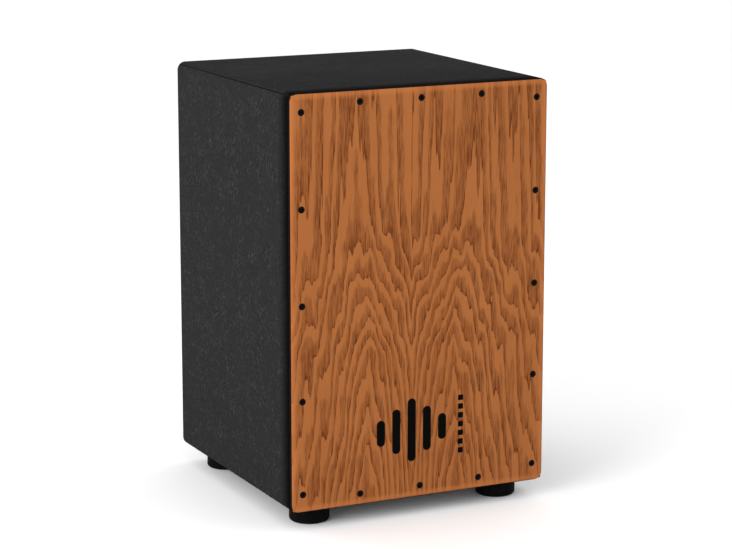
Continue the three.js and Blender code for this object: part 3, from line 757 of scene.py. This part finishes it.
def cover_board(piece, outward):
    """Foil on the outside, paint on the ends and in the mitres, and bare board on the rest."""
    surface = max(vertex.co.dot(outward) for vertex in piece.data.vertices)

    def finish_of(face):
        below = surface - face.center.dot(outward)
        inset = (tube_high - tube_low) / 2 - abs_vector(face.center - (tube_low + tube_high) / 2)
        in_a_corner = inset.x < board and inset.z < board
        in_a_mitre = in_a_corner and abs(inset.x - inset.z) < MITRE_LINE
        at_an_end = abs(face.normal.y) > END_FACING and inset.y < END_PAINT
        if at_an_end or in_a_mitre:
            return PAINT
        outside = face.normal.dot(outward) > 0.05 and (below < FOIL_DEPTH or in_a_corner)
        return FOIL if outside else FIBREBOARD

    cover(piece, [FOIL, PAINT, FIBREBOARD], finish_of)


UP, RIGHT = Vector((0, 0, 1)), Vector((1, 0, 0))
facings = {"top": UP, "bottom": -UP, "left_side": -RIGHT, "right_side": RIGHT}
boards = {name: mitred_board(f"{name}_board", outward) for name, outward in facings.items()}
bpy.data.objects.remove(tube)
print("sawn:", sorted(boards))

# %% [markdown]
# The bottom board also lets the two tuning bolts through, with a wide recess for each head, and takes the
# screws of the feet. Round cutters make those holes, as drills would.

# %% Drill the bottom board and cover all four
BOLT_ROOM = 0.3 * MM  # all round a bolt
BOLT_SHANK = 5 * MM  # diameter
HEAD_RECESS = 5.6 * MM  # depth
SCREW_HOLE = 2.3 * MM  # radius, through each foot and its washer and up into the board
SCREW_HOLE_DEPTH = 7.3 * MM


def centre_of(node):
    low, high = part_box(node)
    return (low + high) / 2


def drill_up(piece, node, radius, depth, sides=48):
    """Drills a round hole up into the bottom board, under the middle of a node."""
    start = centre_of(node).xy.to_3d() + UP * (tube_low.z - MM)
    carve(piece, rod("drill", radius, start, start + UP * (depth + MM), sides))


def drill_bottom(piece):
    for side in SIDES:
        bolt = f"tuning_bolt_{side}"
        low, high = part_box(bolt)
        drill_up(piece, bolt, (high.x - low.x) / 2 + BOLT_ROOM, HEAD_RECESS)
        drill_up(piece, bolt, BOLT_SHANK / 2 + BOLT_ROOM, board + MM)
    for node in frame["nodes"]:
        if node.startswith("foot_screw"):
            drill_up(piece, node, SCREW_HOLE, SCREW_HOLE_DEPTH, 24)


drill_bottom(boards["bottom"])
for name, piece in boards.items():
    cover_board(piece, facings[name])
    fit(piece, CASE, "black_foil", f"{name}_panel")
    print(name, "board:", len(piece.data.polygons), "faces")

# %% [markdown]
# ## The back board
#
# A thinner board closes the back, let in flush, with the sound hole cut a little above its middle. The
# rims of the hole are rounded over by hand, because the player lifts the box by it.

# %% Cut and round the sound hole
SOUND_HOLE = 115 * MM  # diameter
HOLE_EASE = 1.4 * MM
BACK_EASE = 0.5 * MM

hole_box = next(o["box_m"] for o in frame["record"]["physics"]["openings"] if o["name"] == "sound_hole")
hole_z = (hole_box[0][2] + hole_box[1][2]) / 2


def back_board():
    low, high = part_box("back_panel")
    piece = block("back_board", low, high)
    edit(piece)
    choose("EDGE", lambda edge: at_depth(edge, high.y))
    bevel_chosen(BACK_EASE, 2)
    object_mode()
    before, behind = low.y - 10 * MM, high.y + 10 * MM
    carve(piece, rod("cutter", SOUND_HOLE / 2, (0, before, hole_z), (0, behind, hole_z), 120))
    centre = Vector((0, 0, hole_z))

    def on_rim(edge):
        return abs(((middle(edge) - centre) * Vector((1, 0, 1))).length - SOUND_HOLE / 2) < 0.1 * MM

    edit(piece)
    choose("EDGE", lambda edge: on_rim(edge) and abs(direction(edge).y) < 0.1)
    bevel_chosen(HOLE_EASE, 4)
    object_mode()

    def finish_of(face):
        if face.normal.y > 0.5:
            return FOIL
        return FIBREBOARD if face.normal.y < -0.9 else PAINT

    cover(piece, [FOIL, PAINT, FIBREBOARD], finish_of)
    return fit(piece, CASE, "black_foil", "back_panel")


print("back board:", len(back_board().data.polygons), "faces")

# %% [markdown]
# ## The front plate
#
# The plate is the drum's skin: 3 mm of ply faced with ash. Its corners are rounded to match the box and
# its edges are painted. Sixteen countersunk holes let the screw heads lie flush. One cutter is turned,
# copied to every hole and joined, so that the plate is cut only once.

# %% Plate and countersinks
screw_nodes = sorted(node for node in frame["nodes"] if node.startswith("front_screw"))
plate_low, plate_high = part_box("front_plate")
HEAD_RADIUS = 3.45 * MM
SHANK_RADIUS = 1.6 * MM
HEAD_DEPTH = 2.2 * MM  # of the cone under the head
FACING_FRONT = (math.pi / 2, 0, 0)  # turns +Z to the front


def screw_seat(node):
    """The point on the plate's face over a screw's axis."""
    place = centre_of(node)
    return Vector((place.x, plate_low.y, place.z))


screw_seats = {node: screw_seat(node) for node in screw_nodes}


def near_a_screw(place):
    return any((seat - place).length < 2 * HEAD_RADIUS for seat in screw_seats.values())


SANDED = 6 * MM  # width of the margin that is sanded back towards the edges
SANDING = ((0.15 * MM, SANDED / 4), (0.35 * MM, SANDED * 0.75))  # depth taken off, from how far out
RIM_HEIGHT = 0.5 * MM  # what the sanding takes off the edges in all
RIM_ROUND = 2.4 * MM
PAINT_STARTS = 0.62 * MM  # depth below the plate's face at which the edge paint starts
HOLE_ROOM = 0.2 * MM  # between a screw and its hole


def in_margin(place, reach):
    """Whether a point of the plate's face lies out in the margin by more than a reach."""
    flat = (plate_high - plate_low) / 2 - Vector((SANDED, 0, SANDED))
    out = abs_vector(place - (plate_low + plate_high) / 2) - flat
    return place.y < plate_low.y + MM and max(out.x, out.z) > reach


def countersinks():
    """Cutters for all the screw holes, joined."""
    rim, shank = HEAD_RADIUS + HOLE_ROOM, SHANK_RADIUS + HOLE_ROOM
    outline = [(0, MM), (rim, MM), (rim, -HOLE_ROOM), (shank, -HEAD_DEPTH)]
    outline += [(shank, -6 * MM), (0, -6 * MM)]
    sink = spun("countersink", outline, 32)
    sinks = [copy_of(sink, "countersink", seat, FACING_FRONT) for seat in screw_seats.values()]
    bpy.data.objects.remove(sink)
    return join("countersinks", sinks)


def plate_finish(face):
    if face.normal.y > 0.9:
        return BARE_ASH
    on_front = face.normal.y < -0.3 and face.center.y < plate_low.y + PAINT_STARTS
    in_a_hole = face.normal.y > -0.97 and near_a_screw(face.center)
    return ASH if on_front and not in_a_hole else PAINT


def front_plate():
    piece = block("front_plate_board", plate_low, plate_high)
    edit(piece)
    choose("EDGE", lambda edge: abs(direction(edge).y) > 0.9)
    bevel_chosen(EDGE_RADIUS, 14)
    for _ in range(2):
        choose("FACE", lambda face: face.normal.y < -0.99 and face.calc_area() > 0.1)
        bpy.ops.mesh.inset(thickness=SANDED / 2)
    for depth, reach in SANDING:
        choose("VERT", lambda vertex: in_margin(vertex.co, reach))
        bpy.ops.transform.translate(value=(0, depth, 0))
    choose("EDGE", lambda edge: at_depth(edge, plate_low.y + RIM_HEIGHT))
    bevel_chosen(RIM_ROUND, 6)
    object_mode()
    carve(piece, countersinks())
    cover(piece, [ASH, PAINT, BARE_ASH], plate_finish)
    return fit(piece, CASE, "ash_ply", "front_plate")


print("front plate:", len(front_plate().data.polygons), "faces and", len(screw_nodes), "holes")

# %% [markdown]
# ## Screws
#
# A screw is turned, then its cross is punched. The cross could be a flat picture on the head, but it
# catches the light only if it is a real hollow, so two tapering blades are cut out. One screw is made and
# copied to the sixteen holes, each turned to a different angle, as a hand screwdriver leaves them.

# %% Punch a cross and make the plate's screws
BLADE_TAPER = 0.55  # width of a blade at its foot, as a share of its width at the top
DOME = 0.34 * MM  # height of the plate screws' heads
CROSS_LENGTH, CROSS_WIDTH, CROSS_DEPTH = 3.9 * MM, 0.95 * MM, 1.7 * MM
SCREW_SUNK = 0.15 * MM
SCREW_STEP = 37  # degrees from one screw's cross to the next


def punch_cross(piece, length, width, top, depth):
    """Cuts a cross recess that tapers to about half its size."""
    for blade in ((length, width), (width, length)):
        half = Vector((blade[0] / 2, blade[1] / 2, 0))
        cutter = block("blade", -half + UP * (top - depth), half + UP * (top + MM))
        edit(cutter)
        choose("VERT", lambda vertex: vertex.co.z < top)
        taper = (BLADE_TAPER, BLADE_TAPER, 1)
        bpy.ops.transform.resize(value=taper, center_override=(0, 0, top - depth))
        object_mode()
        carve(piece, cutter)


def plate_screw():
    low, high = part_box(screw_nodes[0])
    length = high.y - low.y
    dome = [(0, DOME), (1.2 * MM, 0.31 * MM), (2.4 * MM, 0.19 * MM), (HEAD_RADIUS - 0.1 * MM, 0)]
    rest = [
        (HEAD_RADIUS, -0.1 * MM),
        (HEAD_RADIUS, -0.25 * MM),
        (SHANK_RADIUS, -HEAD_DEPTH),
        (SHANK_RADIUS, -length + 3 * MM),
        (0, -length),
    ]
    piece = spun("plate_screw", dome + rest, 40)
    punch_cross(piece, CROSS_LENGTH, CROSS_WIDTH, DOME, CROSS_DEPTH)
    piece.data.materials.append(BLACKENED)
    return piece


def body_of_node(node):
    return next(name for name, nodes in frame["record"]["behaviour"]["bodies"].items() if node in nodes)


screw = plate_screw()
for number, node in enumerate(screw_nodes):
    seat = screw_seats[node] + Vector((0, SCREW_SUNK, 0))
    turned = math.radians(SCREW_STEP * number % 90)
    piece = copy_of(screw, f"{node}_turned", seat, (math.pi / 2, turned, 0))
    fit(piece, body_of_node(node), "black_screw", node)
bpy.data.objects.remove(screw)
print("plate screws:", len(screw_nodes))

# %% [markdown]
# ## Rubber feet
#
# Each foot is a moulded puck with a rounded lower rim and a well that hides its washer and screw. The
# outline runs all round the section and back to where it began, because the foot has a hole through it.

# %% Feet, washers and their screws
WASHER_EASE = 0.25 * MM
HEAD_GAP = 0.3 * MM  # between a foot's washer and the head of its screw
FOOT_SCREW = 4.2 * MM, 2.6 * MM, 2 * MM  # radius and height of the head, radius of the shank
POINT = 2.5 * MM


def foot(low, high):
    """The outline of a foot, starting at the top of its bore and going round to it again."""
    outer, top = (high.x - low.x) / 2, high.z
    well, well_top, rim = 9 * MM, 10 * MM, 3.6 * MM
    lip, draft, shoulder = 0.8 * MM, 0.3 * MM, 1.2 * MM
    outline = [(SCREW_HOLE, top), (SCREW_HOLE, well_top), (well, well_top), (well, lip), (well + lip, 0)]
    outline += arc((outer - rim, rim), rim, -90, 0, 8)
    outline += [(outer - draft, top - shoulder)]
    outline += arc((outer - draft - shoulder, top - shoulder), shoulder, 0, 90, 3)
    return outline + [(SCREW_HOLE, top)]


def ring(inner, outer, bottom, top, ease):
    """The outline of a washer with eased outer corners."""
    return [
        (inner, top),
        (inner, bottom),
        (outer - ease, bottom),
        (outer, bottom + ease),
        (outer, top - ease),
        (outer - ease, top),
        (inner, top),
    ]


def round_headed_screw(name, head, head_height, shank, whole_length):
    """A zinc screw with its head up, above z = 0, its point down, and a cross in its head."""
    length = whole_length - head_height
    dome = [(head * math.sin(a), head_height * math.cos(a)) for a in (0, 0.35, 0.7, 1.05, 1.4)]
    body = [(head, 0), (shank, 0), (shank, POINT - length), (0, -length)]
    piece = spun(name, dome + body, 36)
    punch_cross(piece, head * 1.05, head * 0.26, head_height, head_height * 0.75)
    piece.data.materials.append(ZINC)
    return piece


def stopping_angle(word):
    """The angle at which a screw stopped turning: each word has its own, the same in every run."""
    return math.radians(sum(map(ord, word)) * 29 % 90)


def foot_set(corner, model_screw):
    low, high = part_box(f"foot_{corner}")
    axis = centre_of(f"foot_{corner}").xy.to_3d()
    pad = spun("pad", foot(low, high), 64)
    washer_low, washer_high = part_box(f"foot_washer_{corner}")
    radius = (washer_high.x - washer_low.x) / 2
    disc = spun("disc", ring(SCREW_HOLE, radius, washer_low.z, washer_high.z, WASHER_EASE), 48)
    pad.data.materials.append(RUBBER)
    disc.data.materials.append(ZINC)
    fit(copy_of(pad, f"rubber_foot_{corner}", axis), CASE, "foot_rubber", f"foot_{corner}")
    fit(copy_of(disc, f"washer_{corner}", axis), CASE, "zinc_steel", f"foot_washer_{corner}")
    seat = axis + UP * (washer_low.z - HEAD_GAP)
    piece = copy_of(model_screw, f"screw_of_foot_{corner}", seat, (math.pi, 0, stopping_angle(corner)))
    fit(piece, CASE, "zinc_steel", f"foot_screw_{corner}")
    for model in (pad, disc):
        bpy.data.objects.remove(model)


screw_low, screw_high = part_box("foot_screw_front_left")
foot_screw = round_headed_screw("foot_screw_model", *FOOT_SCREW, screw_high.z - screw_low.z)
for end in ("front", "rear"):
    for side in SIDES:
        foot_set(f"{end}_{side}", foot_screw)
bpy.data.objects.remove(foot_screw)
print("feet: 4")

# %% [markdown]
# ## Battens and the string bracket
#
# The rear battens are planed bars whose edges are eased so that they don't splinter. The drilled front
# battens, the folded steel angle and the saddles already have their final shape in the frame, so they
# keep their meshes and only get their finish.

# %% Battens, and the pieces that keep their shape
BATTEN_EASE = 0.8 * MM
BRACKET_SCREW = 3.2 * MM, 1.9 * MM, 1.5 * MM  # radius and height of the head, radius of the shank
KEPT = {"front_batten": PINE, "string_bracket": ZINC, "string_saddle": ZINC}


def planed_bar(node):
    bar = block(f"{node}_bar", *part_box(node))
    edit(bar)
    choose("EDGE", lambda edge: True)
    bevel_chosen(BATTEN_EASE, 3)
    object_mode()
    bar.data.materials.append(PINE)
    return fit(bar, CASE, "pine", node)


for node in frame["nodes"]:
    if node.startswith("rear_batten"):
        planed_bar(node)

for node, piece in frame["nodes"].items():
    for start, finish in KEPT.items():
        if node.startswith(start):
            piece.data.materials.clear()
            piece.data.materials.append(finish)
            print(node, "is now", finish.name)

screw_low, screw_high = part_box("bracket_screw_left")
bracket_screw = round_headed_screw("bracket_screw_model", *BRACKET_SCREW, screw_high.y - screw_low.y)
for side in SIDES:
    low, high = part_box(f"bracket_screw_{side}")
    seat = Vector(((low.x + high.x) / 2, high.y - BRACKET_SCREW[1], (low.z + high.z) / 2))
    turn = (-math.pi / 2, stopping_angle(side), 0)
    piece = copy_of(bracket_screw, f"screw_of_bracket_{side}", seat, turn)
    fit(piece, CASE, "zinc_steel", f"bracket_screw_{side}")
bpy.data.objects.remove(bracket_screw)

# %% [markdown]
# ## Tuning bolts
#
# Each bolt has a hex socket in its head, reached from under the box, and a thread that carries the
# saddle. A thread can be wound as a true helix. At 0.8 mm to a turn, and seen only through the sound
# hole, rings cut to the same depth and spacing look the same and close up cleanly.

# %% Bolts with socket heads
THREAD_PITCH = 0.8 * MM
THREAD_DEPTH = 0.4 * MM
THREADED = 24 * MM  # from the bolt's end
BOLT_HEAD = 5 * MM
BOLT_EASE = 0.6 * MM
HEX_CORNER, HEX_DEPTH = 2.3 * MM, 2.8 * MM


def tuning_bolt(side):
    low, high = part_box(f"tuning_bolt_{side}")
    head, shank, head_top = (high.x - low.x) / 2, BOLT_SHANK / 2, low.z + BOLT_HEAD
    outline = [(0, low.z), (head - BOLT_EASE, low.z), (head, low.z + BOLT_EASE), (head, head_top)]
    outline += [(shank, head_top), (shank, high.z - THREADED)]
    turns = round((THREADED - MM) / THREAD_PITCH)
    for turn in range(turns):
        groove = high.z - THREADED + (turn + 0.5) * THREAD_PITCH
        outline += [(shank - THREAD_DEPTH, groove), (shank, groove + THREAD_PITCH / 2)]
    outline += [(shank - BOLT_EASE, high.z), (0, high.z)]
    model = spun("bolt", outline, 36)
    carve(model, rod("key", HEX_CORNER, (0, 0, low.z - MM), (0, 0, low.z + HEX_DEPTH), 6))
    model.data.materials.append(BLACKENED)
    piece = copy_of(model, f"socket_bolt_{side}", centre_of(f"tuning_bolt_{side}").xy.to_3d())
    bpy.data.objects.remove(model)
    return fit(piece, f"tuning_bolt_{side}", "black_screw", f"tuning_bolt_{side}")


for side in SIDES:
    print("bolt:", len(tuning_bolt(side).data.polygons), "faces")

# %% [markdown]
# ## Strings
#
# Each string is one wire: hooked round a brass spool under the saddle, up behind the plate, over the
# bracket and down to a second spool. A wire is best drawn as a curve with a round section and turned into
# a mesh at the end. A real string stretches when the saddle moves; this wire isn't fixed to any body.

# %% Spools and wires
WIRE_RADIUS = 0.4 * MM
LOOP_TOP = 10 * MM  # between the two runs at the bracket
SPOOL_NECK = 1.3 * MM
SPOOL_EASE, SPOOL_FLANGE, SPOOL_SLOPE = 0.3 * MM, MM, 1.4 * MM  # from a spool's end along its axis
HOOK, HOOK_STEP = 150, 25  # degrees to either side that a wire goes round its spool, and between points
BEND = 0.8 * MM  # of the wire over the bracket


def spool(side, where):
    node = f"string_ball_{side}_{where}"
    low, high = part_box(node)
    half, radius = (high.x - low.x) / 2, (high.z - low.z) / 2
    flange = [(SPOOL_NECK, SPOOL_SLOPE), (radius, SPOOL_FLANGE), (radius, SPOOL_EASE)]
    flange += [(radius - SPOOL_EASE, 0), (0, 0)]
    outline = [(out, along - half) for out, along in reversed(flange)]
    outline += [(out, half - along) for out, along in flange]
    model = spun("spool", outline, 32)
    model.data.materials.append(BRASS)
    piece = copy_of(model, f"spool_{side}_{where}", centre_of(node), (0, math.pi / 2, 0))
    bpy.data.objects.remove(model)
    return fit(piece, f"saddle_{side}", "brass", node)


def wire_path(side):
    """The centre line of one string, from its outer spool over the bracket to its inner one."""
    low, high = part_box(f"string_{side}")
    saddle_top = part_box(f"string_saddle_{side}")[1].z
    lying = low.y + WIRE_RADIUS
    crown = high.z - WIRE_RADIUS
    outward = -1 if side == "left" else 1
    outermost = low.x + WIRE_RADIUS if side == "left" else high.x - WIRE_RADIUS
    round_spool = SPOOL_NECK + WIRE_RADIUS
    halves = []
    for where, top_x in (("outer", outermost), ("inner", outermost - outward * LOOP_TOP)):
        hook = centre_of(f"string_ball_{side}_{where}")
        turn = outward if where == "outer" else -outward
        run = []
        for degrees in range(HOOK, -HOOK - 1, -HOOK_STEP):
            a = math.radians(degrees)
            run.append(hook + Vector((0, round_spool * math.sin(a), -round_spool * math.cos(a))))
        run.append(Vector((hook.x, lying + 0.1 * MM, saddle_top - 0.8 * MM)))
        run.append(Vector((hook.x, lying, saddle_top + MM)))
        for degrees in (0, 22.5, 45, 67.5, 90):
            a = math.radians(degrees)
            x = top_x - turn * BEND * (1 - math.cos(a))
            run.append(Vector((x, lying, crown - BEND + BEND * math.sin(a))))
        halves.append(run)
    return halves[0] + halves[1][::-1]


def string_wire(side):
    curve = bpy.data.curves.new(f"wire_{side}", "CURVE")
    curve.dimensions, curve.bevel_depth, curve.bevel_resolution = "3D", WIRE_RADIUS, 3
    curve.use_fill_caps = True
    points = wire_path(side)
    line = curve.splines.new("POLY")
    line.points.add(len(points) - 1)
    for point, place in zip(line.points, points):
        point.co = (*place, 1)
    piece = bpy.data.objects.new(f"wire_{side}", curve)
    bpy.context.scene.collection.objects.link(piece)
    only(piece)
    bpy.ops.object.convert(target="MESH")
    piece = bpy.context.active_object
    edit(piece)
    bpy.ops.mesh.select_all(action="SELECT")
    bpy.ops.mesh.remove_doubles(threshold=WELD)
    bpy.ops.mesh.normals_make_consistent(inside=False)
    object_mode()
    piece.data.materials.append(WIRE)
    bpy.ops.object.shade_smooth_by_angle(angle=math.radians(50))
    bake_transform(piece)
    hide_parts(f"string_{side}")
    return piece


for side in SIDES:
    for where in ("outer", "inner"):
        spool(side, where)
    print("string:", len(string_wire(side).data.polygons), "faces")

# %% [markdown]
# ## The mark on the plate
#
# The plate carries a plain printed mark: five upright bars, like the beats of a sound, and beside them a
# column of small squares. Ink could be painted by the material, but its edges would then only be as
# sharp as the texture is fine. Thin plates of ink have clean edges from any distance.

# %% Print the bars and the squares
INK_PROUD, INK_SUNK = 0.1 * MM, 0.02 * MM  # thickness above and below the plate's face
MARK_X, MARK_Z = -10 * MM, 94 * MM
BAR_WIDTH, BAR_PITCH = 9.5 * MM, 18 * MM
BAR_HEIGHTS = (28 * MM, 48 * MM, 68 * MM, 48 * MM, 28 * MM)
BAR_CORNER = 0.49 * BAR_WIDTH
SQUARES, SQUARE, SQUARE_PITCH, SQUARES_X = 7, 6 * MM, 9.6 * MM, 48 * MM
SQUARE_CORNER = 0.8 * MM


def ink_patch(x, z, width, height, radius):
    """A thin plate of ink with rounded corners."""
    low = Vector((x - width / 2, plate_low.y - INK_PROUD, z - height / 2))
    high = Vector((x + width / 2, plate_low.y + INK_SUNK, z + height / 2))
    patch = block("patch", low, high)
    edit(patch)
    choose("EDGE", lambda edge: abs(direction(edge).y) > 0.9)
    bevel_chosen(radius, 10)
    object_mode()
    return patch


bars = [
    ink_patch(MARK_X + (i - 2) * BAR_PITCH, MARK_Z, BAR_WIDTH, height, BAR_CORNER)
    for i, height in enumerate(BAR_HEIGHTS)
]
squares = [
    ink_patch(SQUARES_X, MARK_Z + (i - SQUARES // 2) * SQUARE_PITCH, SQUARE, SQUARE, SQUARE_CORNER)
    for i in range(SQUARES)
]
for name, patches in (("printed_bars", bars), ("printed_squares", squares)):
    printed = join(name, patches)
    printed.data.materials.append(INK)
    fit(printed, CASE, "black_screw")
    print(name, len(printed.data.polygons), "faces")

# %% [markdown]
# ## Room, light and camera
#
# A black box only reads as black against light that has a shape. A large soft panel on the left puts an
# even sheen on the side board, a weaker one on the right fills the front, and a third on the left lights
# the back. A pale floor and a white sky send light in from all round. The camera stands far off with a
# long lens, so that the box's sides stay nearly parallel.

# %% Floor and light
LAMPS = {  # place, size in metres, power in watts
    "key": ((-2.3, -1.1, 0.9), 1.5, 52),
    "fill": ((2.6, -2.4, 1.2), 2.6, 14),
    "rear": ((-1.5, 2.3, 0.8), 1.6, 14),
}
SKY = 1.03  # strength of the white all round


def pale_floor():
    bpy.ops.mesh.primitive_plane_add(size=60, location=(0, 0, frame_low.z - 0.1 * MM))
    floor = named("floor")

    def paint(nodes, place):
        clouds = nodes.noise(place, 3.0, 3)
        return {
            "Base Color": nodes.mix(clouds, shade(249, 249, 249), shade(252, 252, 252)),
            "Roughness": 0.9,
        }

    floor.data.materials.append(material("pale floor", paint))


def soft_panel(name, place, size, power, target):
    lamp = bpy.data.lights.new(name, "AREA")
    lamp.shape, lamp.size, lamp.energy = "SQUARE", size, power
    panel = bpy.data.objects.new(name, lamp)
    panel.location = place
    panel.rotation_euler = (Vector(target) - Vector(place)).to_track_quat("-Z", "Y").to_euler()
    bpy.context.scene.collection.objects.link(panel)


pale_floor()
centre = (frame_low + frame_high) / 2
for name, (place, size, power) in LAMPS.items():
    soft_panel(name, place, size, power, centre)

world = bpy.data.worlds.new("studio")
world.use_nodes = True
sky = world.node_tree.nodes["Background"].inputs
sky["Color"].default_value = (1, 1, 1, 1)
sky["Strength"].default_value = SKY
bpy.context.scene.world = world
bpy.context.scene.view_settings.view_transform = "Standard"
print("lamps:", len(LAMPS))

# %% Camera
AZIMUTH, ELEVATION = math.radians(-25.96), math.radians(11.75)
LENS, DISTANCE = 121.6, 2.705  # millimetres and metres
AIM = centre + Vector((7.9, -3.8, 3.2)) * MM

camera = bpy.data.objects.new("camera", bpy.data.cameras.new("camera"))
towards = Euler((math.pi / 2 - ELEVATION, 0, AZIMUTH))
camera.data.lens, camera.data.sensor_width = LENS, 36
camera.data.clip_start, camera.data.clip_end = 0.05, 50
camera.rotation_euler = towards
camera.location = AIM + towards.to_matrix() @ Vector((0, 0, DISTANCE))
bpy.context.scene.collection.objects.link(camera)
bpy.context.scene.camera = camera
print("camera at", [round(value, 3) for value in camera.location])
